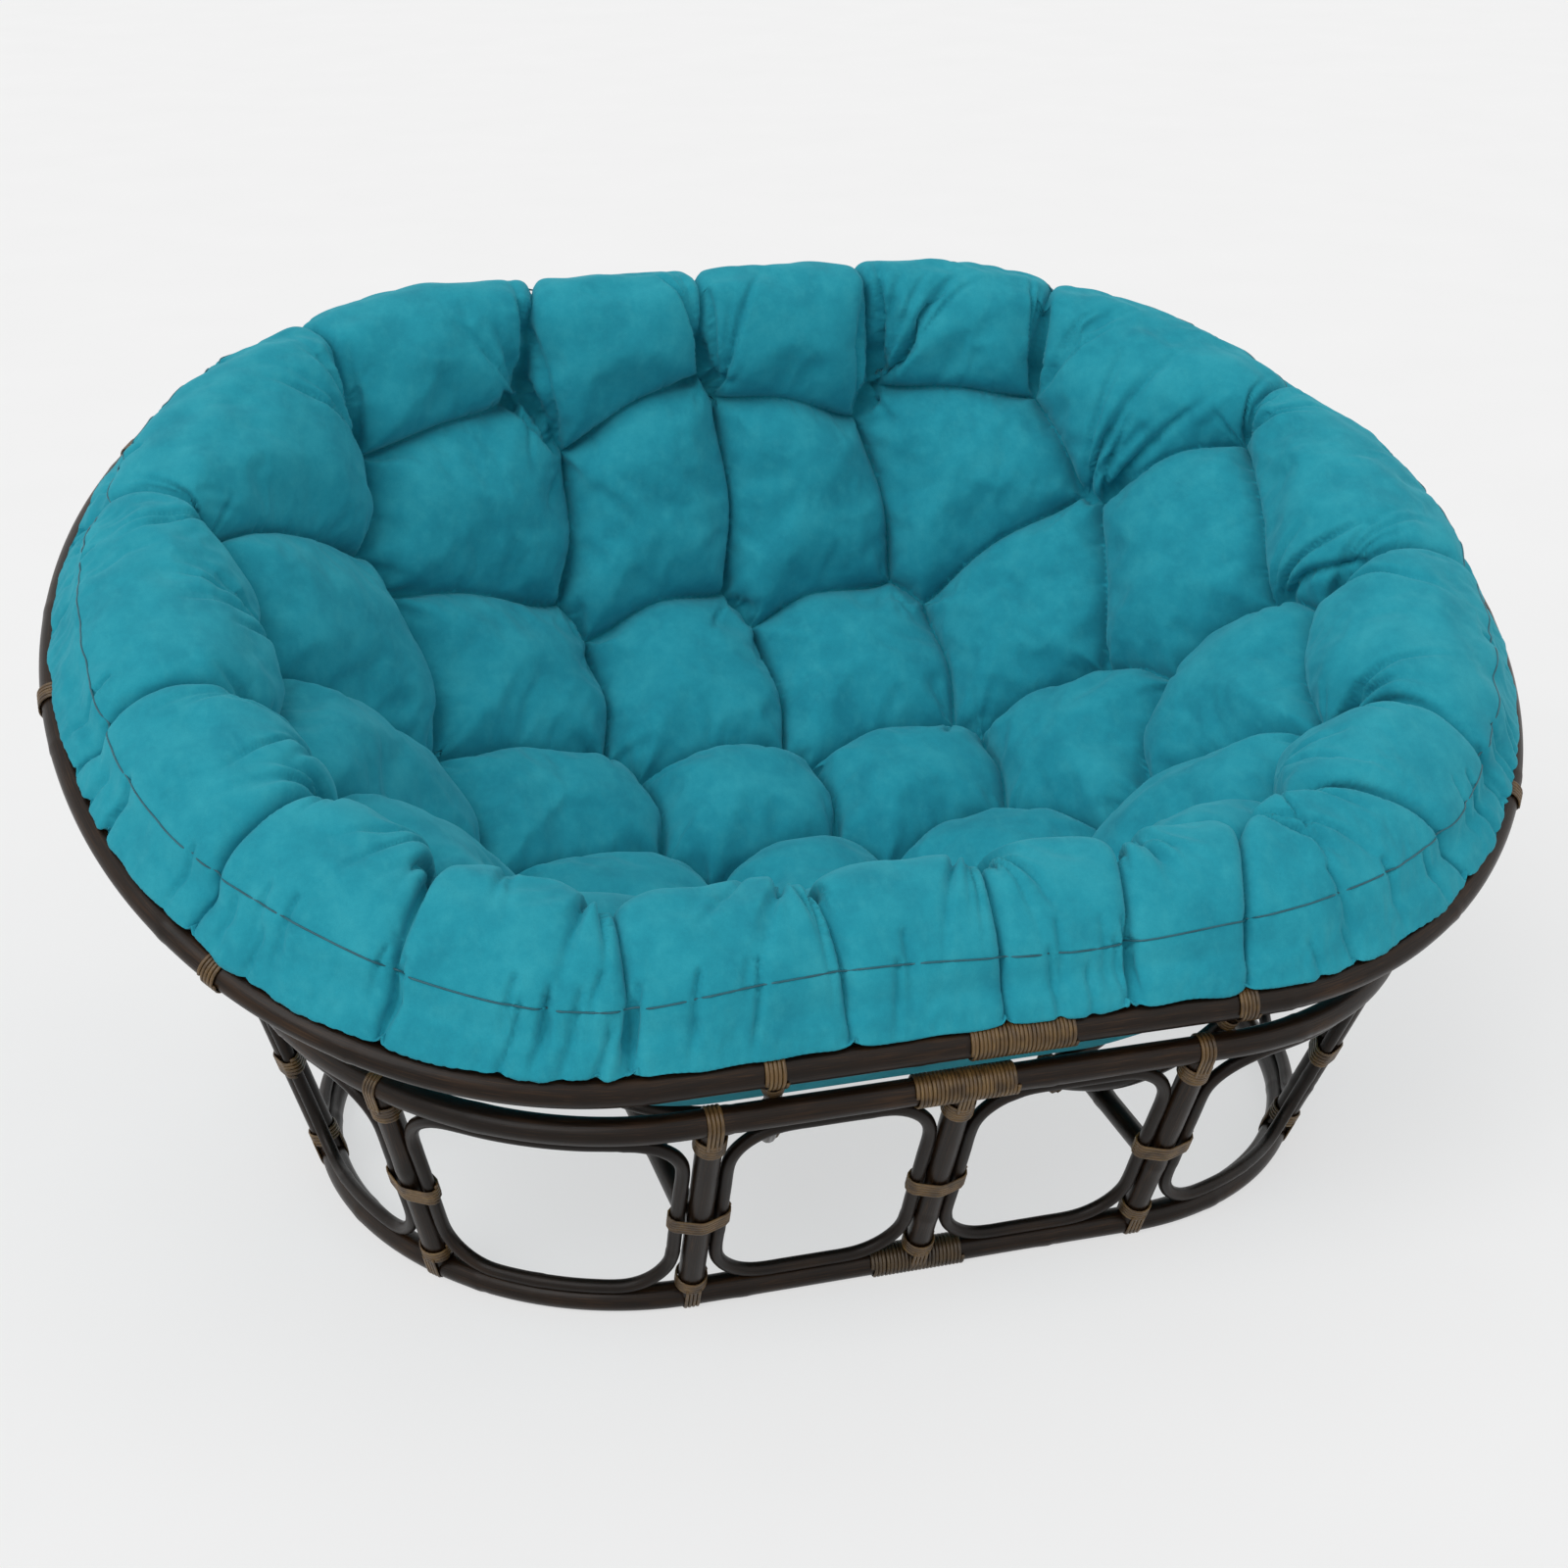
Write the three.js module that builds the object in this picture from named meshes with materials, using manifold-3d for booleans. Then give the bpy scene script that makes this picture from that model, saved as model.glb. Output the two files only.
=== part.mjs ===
// Double papasan chair: an oval bowl of bent rattan lies tilted in an oval rattan base,
// and one deep tufted cushion lies loose in the bowl.
// Lengths are in millimetres. +Z is up and the sitter faces -Y.
// The origin is on the floor, under the middle of the whole chair.

import * as THREE from 'three';
import { mergeGeometries, mergeVertices } from 'three/addons/utils/BufferGeometryUtils.js';
import Module from 'manifold-3d';

const wasm = await Module();
wasm.setup();

// Poles and canes, all diameters

const rimTube = 32;
const baseTube = 29;
const postTube = 28;
const braceTube = 25;
const loopCane = 15;
const ribTube = 18;
const bowlRingTube = 18;
const stripWidth = 5.4;
const stripThickness = 1.6;

// Clearances

const seatGap = 0.3;
const seatEase = 0.5;
const ringEase = 0.5;
const turnGap = 0.6;
const weld = 0.0005;

// Base: two oval rings on posts. Each oval has a straight run in front and behind.
// The top ring follows the bowl that lies in it, and the bottom ring is drawn in under it.

const topHeight = 292;
const topLengthShare = 0.8012;
const topDepthShare = 0.8075;
const topStraightShare = 0.924;
const footEndDrawIn = 85;
const footSideDrawIn = 132;
const footStraightDrawIn = 34;
const groundFlat = 1.5;

// Posts stand at these shares of a quarter of each ring, counted from the middle of the front or back

const postTopShares = [0, 0.26, 0.62, 1];
const postFootShares = [0, 0.31, 0.66, 1];
const postNames = ['middle', 'inner', 'outer', 'end'];

// Cane loops in the panels

const loopCorner = 60;
const loopCornerSteps = 4;
const loopRunSteps = 3;

// Windings

const tieHeightShare = 0.47;
const tieTurns = 3.5;
const spliceTurns = 18;
const rimSpliceStart = -2;

// Braces run from front to back between the inner posts

const braceHeightShare = 0.37;

// Bowl: the tilt axis lies above the base, and the bowl turns about it in the base ring

const rimHalfLength = 810;
const rimHalfDepth = 603;
const rimStraight = 303;
const rimDrop = 99;
const tilt = THREE.MathUtils.degToRad(23);

// Levels of the ribs below the rim: angle off the bowl's own vertical at front and back,
// half length and straight run as shares of the rim's, and how far the front is lifted

const ribAngles = [74, 66, 58, 50, 41, 32].map(THREE.MathUtils.degToRad);
const ribLengthShares = [0.92, 0.83, 0.73, 0.59, 0.42, 0.25];
const ribStraightShares = [0.9, 0.78, 0.66, 0.52, 0.36, 0.22];
const ribLiftShares = [0, 0, 0.05, 0.36, 0.86, 1];
const middleLevel = 3;
const bottomHalfLength = 150;
const bottomHalfDepth = 200;
const bottomStraight = 30;
const bottomDrop = 450;
const frontLift = 42;

// Ribs stand at these shares of a quarter of the rim, left and right of its middle

const ribLeftShares = [0.166, 0.645];
const ribRightShares = [0.25, 0.66];

// Cushion, in the bowl

const cushionEndRoom = 22;
const cushionSideRoom = 23;
const cushionStraightShare = 0.957;
const crestShare = 0.86;
const crestLevel = 14;
const crestShift = 22;
const hollowLevel = -355;
const rollLevel = -46;
const seamLevel = -66;
const seamDrawIn = 6;
const lowerEdgeRise = 3;
const lowerEdgeStandOut = 6;
const creaseDepth = 46;
const edgeCreaseShare = 0.4;

// Levels of the ribs that the cushion's underside follows

const cushionLevels = [1, 3, 5];
const cushionEase = 2;

// Sewn cells. A row of lobes stands on the edge: their shares of the way round, from the middle
// of the front to the right, and of the way out. The others lie at shares of the half length
// and half depth.

const lobeTurnShares = [
  0.031, 0.066, 0.098, 0.13, 0.196, 0.256, 0.348, 0.406, 0.462,
  0.534, 0.59, 0.661, 0.755, 0.806, 0.85, 0.889, 0.941, 0.991,
];
const lobeReachShares = [
  0.84, 0.84, 0.87, 0.8, 0.8, 0.79, 0.755, 0.75, 0.745,
  0.745, 0.75, 0.76, 0.81, 0.83, 0.84, 0.84, 0.84, 0.84,
];
const cellPlaceShares = [
  [-0.35, 0.545], [-0.1, 0.548], [0.15, 0.54], [0.38, 0.525],
  [-0.59, 0.19], [-0.34, 0.29], [-0.07, 0.285], [0.193, 0.275], [0.425, 0.25], [0.605, 0.15],
  [-0.58, -0.11], [-0.305, -0.02], [-0.045, -0.03], [0.22, -0.04], [0.435, -0.07], [0.6, -0.23],
  [-0.52, -0.39], [-0.25, -0.276], [0.008, -0.284], [0.267, -0.293], [0.48, -0.45],
  [-0.334, -0.595], [-0.076, -0.603], [0.19, -0.603], [0.4, -0.66],
];

// The dish is drawn flat by this share, more the nearer to its edge, and each cell is what
// lies nearest to its own place there
const flatteningShare = 0.35;
const cellStep = 120;
const lobeRingShares = [0, 0.15, 0.5];
const cellRingShares = [0, 0.4];
const puffPower = 2.6;
const flatteningSteps = 6;

// Facets

const ringSides = 8;
const caneSides = 6;
const rimSteps = 56;
const baseRingSteps = 48;
const midRingSteps = 40;
const bottomRingSteps = 24;
const postSides = 10;
const ribSteps = 13;
const turnSteps = 8;
const edgeSegments = 54;
const undersideSegments = 36;

// Colours

const rattan = { color: 0x33221b, roughness: 0.38, metalness: 0 };
const cane = { color: 0x2b1d17, roughness: 0.45, metalness: 0 };
const binding = { color: 0x6d5530, roughness: 0.4, metalness: 0 };
const suede = { color: 0x20a0b4, roughness: 0.92, metalness: 0 };

// Derived sizes

const baseRadius = baseTube / 2;
const rimRadius = rimTube / 2;
const postRadius = postTube / 2;
const ribRadius = ribTube / 2;
const bowlRingRadius = bowlRingTube / 2;
const turnPitch = stripWidth + turnGap;
const footHeight = baseRadius - groundFlat;
const ribArc = Math.hypot(rimHalfDepth, rimDrop);
const seatRadius = ribArc + ribRadius + seatGap + seatEase + baseRadius;
const topHalfLength = rimHalfLength * topLengthShare;
const topHalfDepth = seatRadius * topDepthShare;
const topStraight = rimStraight * topStraightShare;
const footHalfLength = topHalfLength - footEndDrawIn;
const footHalfDepth = topHalfDepth - footSideDrawIn;
const footStraight = topStraight - footStraightDrawIn;
const axisHeight = topHeight + Math.sqrt(seatRadius ** 2 - topHalfDepth ** 2);
const cushionHalfLength = rimHalfLength - cushionEndRoom;
const cushionHalfDepth = rimHalfDepth - cushionSideRoom;
const cushionStraight = rimStraight * cushionStraightShare;
const lowerEdgeLevel = rimRadius + lowerEdgeRise - rimDrop;

// Curves

// An oval whose share 0 is the middle of the front and 0.25 the right end.
// It is level, or lifted towards the front.
class Oval extends THREE.Curve {
  constructor(halfLength, halfDepth, straight, height, lift = 0) {
    super();
    const bend = halfLength - straight;
    const quarter = Math.PI / 2;
    this.height = height + lift / 2;
    this.slope = lift / (2 * halfDepth);
    this.outline = new THREE.Path();
    this.outline.moveTo(0, -halfDepth);
    this.outline.lineTo(straight, -halfDepth);
    this.outline.absellipse(straight, 0, bend, halfDepth, -quarter, quarter, false);
    this.outline.lineTo(-straight, halfDepth);
    this.outline.absellipse(-straight, 0, bend, halfDepth, quarter, 3 * quarter, false);
    this.outline.lineTo(0, -halfDepth);
  }

  getPoint(share, target = new THREE.Vector3()) {
    const turn = share - Math.floor(share);
    const { x, y } = this.outline.getPoint(turn);
    return target.set(x, y, this.height - this.slope * y);
  }
}

// A curve through stations, which a tube follows one by one
class Stations extends THREE.Curve {
  constructor(points, closed) {
    super();
    this.points = points;
    this.closed = closed;
  }

  getPoint(share, target = new THREE.Vector3()) {
    const spans = this.closed ? this.points.length : this.points.length - 1;
    const place = this.closed ? (share - Math.floor(share)) * spans : share * spans;
    const index = Math.min(Math.floor(place + weld), this.points.length - 1);
    const next = this.points[(index + 1) % this.points.length];
    const rest = Math.max(place - index, 0);
    return target.copy(this.points[index]).lerp(next, rest);
  }

  getPointAt(share, target) {
    return this.getPoint(share, target);
  }

  getTangentAt(share, target = new THREE.Vector3()) {
    const step = 1 / this.points.length;
    const before = this.getPoint(this.closed ? share - step : Math.max(share - step, 0));
    const after = this.getPoint(this.closed ? share + step : Math.min(share + step, 1));
    return target.copy(after).sub(before).normalize();
  }

  getSpacedPoints(divisions) {
    return Array.from({ length: divisions + 1 }, (_, i) => this.getPoint(i / divisions));
  }
}

// Shapes

function section(radius, sides) {
  const outline = new THREE.Shape();
  for (let i = 0; i < sides; i += 1) {
    const angle = (2 * Math.PI * i) / sides + Math.PI / 2;
    const corner = [radius * Math.cos(angle), radius * Math.sin(angle)];
    if (i === 0) outline.moveTo(...corner);
    else outline.lineTo(...corner);
  }
  outline.closePath();
  return outline;
}

function closedTube(curve, steps, radius, sides) {
  return new THREE.TubeGeometry(curve, steps, radius, sides, true);
}

function openTube(curve, steps, radius, sides) {
  const options = { steps, extrudePath: curve, bevelEnabled: false };
  return new THREE.ExtrudeGeometry(section(radius, sides), options);
}

function pole(from, to, radius, sides) {
  const length = from.distanceTo(to);
  const geometry = new THREE.CylinderGeometry(radius, radius, length, sides);
  const up = new THREE.Vector3(0, 1, 0);
  const along = new THREE.Vector3().subVectors(to, from).normalize();
  geometry.applyQuaternion(new THREE.Quaternion().setFromUnitVectors(up, along));
  const middle = new THREE.Vector3().lerpVectors(from, to, 0.5);
  geometry.translate(middle.x, middle.y, middle.z);
  return geometry;
}

function bareGeometry(geometry) {
  const bare = geometry.clone();
  bare.deleteAttribute('normal');
  bare.deleteAttribute('uv');
  return mergeVertices(bare, weld);
}

function toSolid(geometry) {
  const bare = bareGeometry(geometry);
  return new wasm.Manifold(new wasm.Mesh({
    numProp: 3,
    vertProperties: Float32Array.from(bare.attributes.position.array),
    triVerts: Uint32Array.from(bare.index.array),
  }));
}

function toGeometry(solid) {
  const mesh = solid.getMesh();
  const geometry = new THREE.BufferGeometry();
  geometry.setAttribute('position', new THREE.BufferAttribute(mesh.vertProperties, mesh.numProp));
  geometry.setIndex(new THREE.BufferAttribute(mesh.triVerts, 1));
  geometry.computeVertexNormals();
  return geometry;
}

function cutBy(geometry, ...cutters) {
  let solid = toSolid(geometry);
  for (const cutter of cutters) solid = solid.subtract(cutter);
  return toGeometry(solid);
}

function named(name, geometry, finish) {
  const mesh = new THREE.Mesh(geometry, new THREE.MeshStandardMaterial(finish));
  mesh.name = name;
  return mesh;
}

// A tube with flat sides whose flats clear a like tube by the seat gap
function clearOf(radius, sides) {
  return radius + seatGap / Math.cos(Math.PI / sides);
}

// Base rings

const topRing = new Oval(topHalfLength, topHalfDepth, topStraight, topHeight);
const footRing = new Oval(footHalfLength, footHalfDepth, footStraight, footHeight);

function ringCutter(ring) {
  return toSolid(closedTube(ring, baseRingSteps, clearOf(baseRadius, ringSides), ringSides));
}

const topCutter = ringCutter(topRing);
const footCutter = ringCutter(footRing);

function ground() {
  const deep = baseTube;
  const slab = new THREE.BoxGeometry(4 * footHalfLength, 4 * footHalfDepth, deep);
  slab.translate(0, 0, -deep / 2);
  return toSolid(slab);
}

function baseRings() {
  const top = closedTube(topRing, baseRingSteps, baseRadius, ringSides);
  const foot = closedTube(footRing, baseRingSteps, baseRadius, ringSides);
  return [
    named('base_top_ring', top, rattan),
    named('base_bottom_ring', cutBy(foot, ground()), rattan),
  ];
}

// Windings: one unbroken flat strip, wound round the Y axis of its own frame

class Winding extends Stations {
  // the strip lies flat on the bundle, so its frames look away from the axis
  computeFrenetFrames(segments) {
    const shares = Array.from({ length: segments + 1 }, (_, i) => i / segments);
    const tangents = shares.map((share) => this.getTangentAt(share));
    const axis = new THREE.Vector3(0, 1, 0);
    const normals = tangents.map((tangent) => new THREE.Vector3().crossVectors(axis, tangent).normalize());
    const binormals = tangents.map((tangent, i) => new THREE.Vector3().crossVectors(tangent, normals[i]));
    return { tangents, normals, binormals };
  }
}

// The corners of one turn: a polygon drawn close round all the poles of the bundle
function turnCorners(poles) {
  const room = seatGap + stripThickness / 2;
  const sides = Array.from({ length: turnSteps }, (_, i) => {
    const angle = (2 * Math.PI * i) / turnSteps;
    const x = Math.cos(angle);
    const z = Math.sin(angle);
    return { x, z, far: room + Math.max(...poles.map((item) => x * item.x + z * item.z + item.radius)) };
  });
  return sides.map((side, i) => {
    const next = sides[(i + 1) % turnSteps];
    const cross = side.x * next.z - next.x * side.z;
    return {
      x: (side.far * next.z - next.far * side.z) / cross,
      z: (side.x * next.far - next.x * side.far) / cross,
    };
  });
}

function winding(poles, turns) {
  const corners = turnCorners(poles);
  const steps = turns * turnSteps;
  const points = Array.from({ length: steps + 1 }, (_, i) => {
    const { x, z } = corners[i % turnSteps];
    return new THREE.Vector3(x, (i / turnSteps - turns / 2) * turnPitch, z);
  });
  const [thick, wide] = [stripThickness / 2, stripWidth / 2];
  const outline = new THREE.Shape();
  outline.moveTo(-thick, -wide);
  outline.lineTo(thick, -wide);
  outline.lineTo(thick, wide);
  outline.lineTo(-thick, wide);
  outline.closePath();
  const options = { steps, extrudePath: new Winding(points, false), bevelEnabled: false };
  return { points, geometry: new THREE.ExtrudeGeometry(outline, options) };
}

// The least distance from a point of one turn to the line of the next, less the strip
function leastTurnGap({ points }) {
  let least = Infinity;
  const line = new THREE.Line3();
  const nearest = new THREE.Vector3();
  for (let i = 0; i < points.length; i += 1) {
    for (let j = i + turnSteps - 2; j < Math.min(i + turnSteps + 2, points.length - 1); j += 1) {
      line.set(points[j], points[j + 1]).closestPointToPoint(points[i], true, nearest);
      least = Math.min(least, nearest.distanceTo(points[i]));
    }
  }
  return least - stripWidth;
}

// Posts, each with the tie that binds it to the loops beside it

function quarterPlaces(shares, mirrorX, mirrorY) {
  return shares.map((share) => {
    const quarter = mirrorY > 0 ? 0.5 - share / 4 : share / 4;
    return mirrorX > 0 ? quarter : 1 - quarter;
  });
}

function postPlaces() {
  const places = [];
  for (const [side, mirrorY] of [['front', -1], ['back', 1]]) {
    for (const [hand, mirrorX] of [['left', -1], ['right', 1]]) {
      const top = quarterPlaces(postTopShares, mirrorX, mirrorY);
      const foot = quarterPlaces(postFootShares, mirrorX, mirrorY);
      postNames.forEach((label, i) => {
        const middle = i === 0;
        const end = i === postNames.length - 1;
        if ((middle && mirrorX < 0) || (end && mirrorY > 0)) return;
        const words = [end ? null : side, middle ? null : hand, label].filter(Boolean);
        places.push({ name: words.join('_'), top: top[i] % 1, foot: foot[i] % 1, middle, mirrorX, mirrorY });
      });
    }
  }
  return places.sort((a, b) => a.top - b.top);
}

const posts = postPlaces();

function postLine(place) {
  return {
    head: topRing.getPoint(place.top),
    foot: footRing.getPoint(place.foot),
  };
}

// The frame of a winding: its own Y along the given line, its X along the ring
function windingFrame(origin, along, across) {
  const y = along.clone().normalize();
  const z = new THREE.Vector3().crossVectors(across, y).normalize();
  const x = new THREE.Vector3().crossVectors(y, z);
  return new THREE.Matrix4().makeBasis(x, y, z).setPosition(origin);
}

function spliceCutter(ring) {
  const middle = ring.getPoint(0);
  const reach = new THREE.Vector3((spliceTurns / 2 + 1) * turnPitch, 0, 0);
  const corner = (baseRadius + stripThickness + seatGap) / Math.cos(Math.PI / turnSteps);
  const radius = (corner + seatGap) / Math.cos(Math.PI / (2 * turnSteps));
  return toSolid(pole(middle.clone().sub(reach), middle.clone().add(reach), radius, 2 * turnSteps));
}

function postPiece(place) {
  const { head, foot } = postLine(place);
  const run = new THREE.Vector3().subVectors(head, foot).normalize();
  const inset = baseRadius / 2;
  const top = head.clone().addScaledVector(run, -inset);
  const bottom = foot.clone().addScaledVector(run, inset);
  const cutters = [topCutter, footCutter];
  if (place.middle && place.mirrorY < 0) cutters.push(spliceCutter(topRing));
  const body = cutBy(pole(bottom, top, postRadius, postSides), ...cutters);
  return named(`post_${place.name}`, body, rattan);
}

// Splices: a long binding where the two ends of a ring meet

const ringSplice = winding([{ x: 0, z: 0, radius: baseRadius }], spliceTurns);
const rimSplice = winding([{ x: 0, z: 0, radius: rimRadius }], spliceTurns);

function splicePiece(name, { geometry }, origin) {
  const piece = named(name, geometry.clone(), binding);
  piece.position.copy(origin);
  piece.rotation.z = Math.PI / 2;
  return piece;
}

// Loops: a cane bent round each panel, under the top ring, on the bottom ring and along both posts

// A panel is the ruled surface between two posts. Its cane keeps off the rings and the posts.
class Panel {
  constructor(left, right) {
    const span = (from, to) => (to - from + 1) % 1;
    this.left = left;
    this.right = right;
    this.topSpan = span(left.top, right.top);
    this.footSpan = span(left.foot, right.foot);
    this.caneRadius = loopCane / 2;
    this.offRing = baseRadius + this.caneRadius + seatGap;
    this.offPost = postRadius + this.caneRadius + seatGap;
  }

  topShare(u) {
    return this.left.top + this.topSpan * u;
  }

  footShare(u) {
    return this.left.foot + this.footSpan * u;
  }

  ruling(u) {
    return { low: footRing.getPoint(this.footShare(u)), high: topRing.getPoint(this.topShare(u)) };
  }

  surface(u, v) {
    const { low, high } = this.ruling(u);
    return low.lerp(high, v);
  }

  // the share of the height that the cane keeps off a ring
  rise(tangent, u) {
    const { low, high } = this.ruling(u);
    return this.offRing / high.sub(low).cross(tangent).length();
  }

  // the share of the width that the cane keeps off the post at an edge
  inset(v, edge) {
    const chord = this.surface(1, v).sub(this.surface(0, v));
    const { low, high } = this.ruling(edge);
    return this.offPost / chord.cross(high.sub(low).normalize()).length();
  }

  // a place on the cane's outline: a across and b up, both from 0 to 1
  place(a, b) {
    const low = this.rise(footRing.getTangent(this.footShare(a)), a);
    const high = 1 - this.rise(topRing.getTangent(this.topShare(a)), a);
    const v = low + (high - low) * b;
    const from = this.inset(v, 0);
    const to = 1 - this.inset(v, 1);
    return this.surface(from + (to - from) * a, v);
  }

  cane() {
    const width = this.surface(0, 0.5).distanceTo(this.surface(1, 0.5)) - 2 * this.offPost;
    const height = this.surface(0.5, 0).distanceTo(this.surface(0.5, 1)) - 2 * this.offRing;
    const wide = loopCorner / width;
    const tall = loopCorner / height;
    const corners = [[1, 0, -1, 1], [1, 1, -1, -1], [0, 1, 1, -1], [0, 0, 1, 1]];
    const points = corners.flatMap(([a, b, inA, inB], index) => {
      const bend = Array.from({ length: loopCornerSteps + 1 }, (_, i) => {
        const angle = (Math.PI / 2) * (index - 1 + i / loopCornerSteps);
        const across = a + wide * (inA + Math.cos(angle));
        return this.place(across, b + tall * (inB + Math.sin(angle)));
      });
      if (index % 2 === 0) return bend;
      // the runs along the rings curve with them, so they take more stations
      const run = Array.from({ length: loopRunSteps - 1 }, (_, i) => {
        const across = a + inA * (wide + ((1 - 2 * wide) * (i + 1)) / loopRunSteps);
        return this.place(across, b);
      });
      return [...bend, ...run];
    });
    return closedTube(new Stations(points, true), points.length, this.caneRadius, caneSides);
  }
}

const panels = posts.map((left, i) => new Panel(left, posts[(i + 1) % posts.length]));

function loops() {
  return panels.map((panel) => (
    named(`loop_${panel.left.name}_to_${panel.right.name}`, panel.cane(), cane)
  ));
}

// Ties: each binds a post to the loops on both sides of it

function postTie(place, index) {
  const { head, foot } = postLine(place);
  const origin = foot.clone().lerp(head, tieHeightShare);
  const frame = windingFrame(origin, head.sub(foot), topRing.getTangent(place.top));
  const inFrame = frame.clone().invert();
  const before = panels[(index + panels.length - 1) % panels.length];
  const beside = [before.place(1, tieHeightShare), panels[index].place(0, tieHeightShare)];
  const poles = beside.map((point) => {
    const { x, z } = point.applyMatrix4(inFrame);
    return { x, z, radius: loopCane / 2 };
  });
  return { frame, wound: winding([{ x: 0, z: 0, radius: postRadius }, ...poles], tieTurns) };
}

const postTies = posts.map(postTie);

function ties() {
  return posts.map((place, i) => {
    const piece = named(`tie_${place.name}`, postTies[i].wound.geometry, binding);
    postTies[i].frame.decompose(piece.position, piece.quaternion, piece.scale);
    return piece;
  });
}

// Braces: two poles from front to back, each butted against its pair of inner posts

function braces() {
  return [['left', -1], ['right', 1]].map(([hand, mirrorX]) => {
    const pair = posts.filter((place) => place.name.endsWith(`${hand}_inner`));
    const [front, back] = [-1, 1].map((mirrorY) => {
      const place = pair.find((item) => item.mirrorY === mirrorY && item.mirrorX === mirrorX);
      const { head, foot } = postLine(place);
      const solid = toSolid(pole(foot, head, postRadius + seatGap, 2 * postSides));
      return { point: new THREE.Vector3().lerpVectors(foot, head, braceHeightShare), solid };
    });
    const along = new THREE.Vector3().subVectors(back.point, front.point).normalize();
    const from = front.point.clone().addScaledVector(along, postRadius / 2);
    const to = back.point.clone().addScaledVector(along, -postRadius / 2);
    const body = cutBy(pole(from, to, braceTube / 2, postSides), front.solid, back.solid);
    return named(`brace_${hand}`, body, rattan);
  });
}

// Bowl, in a frame whose origin is on the tilt axis

const rimLevel = new Oval(rimHalfLength, rimHalfDepth, rimStraight, -rimDrop);
const ribLevels = ribAngles.map((angle, i) => new Oval(
  rimHalfLength * ribLengthShares[i],
  ribArc * Math.sin(angle),
  rimStraight * ribStraightShares[i],
  -ribArc * Math.cos(angle),
  frontLift * ribLiftShares[i],
));
const bottomHeight = -rimDrop - bottomDrop;
const bottomLevel = new Oval(bottomHalfLength, bottomHalfDepth, bottomStraight, bottomHeight, frontLift);

function ribPlaces() {
  const places = [{ name: 'right_end', share: 0.25 }, { name: 'left_end', share: 0.75 }];
  for (const [side, mirrorY] of [['front', -1], ['back', 1]]) {
    for (const [hand, mirrorX, shares] of [['left', -1, ribLeftShares], ['right', 1, ribRightShares]]) {
      const [inner, corner] = quarterPlaces(shares, mirrorX, mirrorY);
      places.push({ name: `${side}_${hand}_inner`, share: inner % 1 });
      places.push({ name: `${side}_${hand}_corner`, share: corner % 1 });
    }
  }
  return places.sort((a, b) => a.share - b.share);
}

const ribs = ribPlaces();

// A rib starts inside the rim and ends inside the bottom ring, short of their centre lines
function ribCurve(share) {
  const points = [rimLevel, ...ribLevels, bottomLevel].map((level) => level.getPoint(share));
  const shorten = (end, towards, length) => {
    end.addScaledVector(new THREE.Vector3().subVectors(towards, end).normalize(), length);
  };
  shorten(points.at(0), points.at(1), rimRadius / 2);
  shorten(points.at(-1), points.at(-2), bowlRingRadius / 2);
  return new THREE.CatmullRomCurve3(points);
}

function bowlRings() {
  const rim = closedTube(rimLevel, rimSteps, rimRadius, ringSides);
  return [
    named('bowl_rim', rim, rattan),
    named('bowl_middle_ring', closedTube(middleRing(), midRingSteps, bowlRingRadius, caneSides), rattan),
    named('bowl_bottom_ring', closedTube(bottomLevel, bottomRingSteps, bowlRingRadius, caneSides), rattan),
  ];
}

// An oval inside the ribs, at one of their levels
function insideRibs(level, inset) {
  const angle = ribAngles[level];
  return new Oval(
    rimHalfLength * ribLengthShares[level] - inset,
    (ribArc - inset) * Math.sin(angle),
    rimStraight * ribStraightShares[level],
    -(ribArc - inset) * Math.cos(angle),
    frontLift * ribLiftShares[level],
  );
}

function middleRing() {
  return insideRibs(middleLevel, ribRadius + bowlRingRadius + seatGap + ringEase);
}

function ribPieces() {
  const rimCutter = toSolid(closedTube(rimLevel, rimSteps, clearOf(rimRadius, ringSides), ringSides));
  const bottomRadius = clearOf(bowlRingRadius, caneSides);
  const bottomCutter = toSolid(closedTube(bottomLevel, bottomRingSteps, bottomRadius, caneSides));
  return ribs.map(({ name, share }) => {
    const body = openTube(ribCurve(share), ribSteps, ribRadius, caneSides);
    return named(`rib_${name}`, cutBy(body, rimCutter, bottomCutter), rattan);
  });
}

// Cushion

function cushionOval(share, level) {
  return new Oval(cushionHalfLength * share, cushionHalfDepth * share, cushionStraight * share, level);
}

// How far out a place in plan lies, as a share of the way to the cushion's edge
function reachOf({ x, y }) {
  const bend = cushionHalfLength - cushionStraight;
  const beside = Math.abs(y) / cushionHalfDepth;
  const along = Math.abs(x);
  if (along <= cushionStraight * beside) return beside;
  const a = bend ** 2 - cushionStraight ** 2;
  const b = along * cushionStraight;
  return (Math.sqrt(b ** 2 + a * (along ** 2 + (bend * beside) ** 2)) - b) / a;
}

// How far out on the rounded edge, from 0 on the crest to 1 at the seam
function edgeShare(reach) {
  return Math.min(Math.max(reach - crestShare, 0) / (1 - crestShare), 1);
}

// The plain top: a dish up to the crest, then a round edge to the seam. It leans back.
function topPoint(place) {
  const reach = reachOf(place);
  const arch = Math.sqrt(1 - edgeShare(reach) ** 2);
  const steep = (1 - Math.cos(Math.PI * (reach / crestShare) ** 2)) / 2;
  const level = reach <= crestShare
    ? hollowLevel + (crestLevel - hollowLevel) * steep
    : rollLevel + (crestLevel - rollLevel) * arch;
  return new THREE.Vector3(place.x, place.y + crestShift * arch, level);
}

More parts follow.
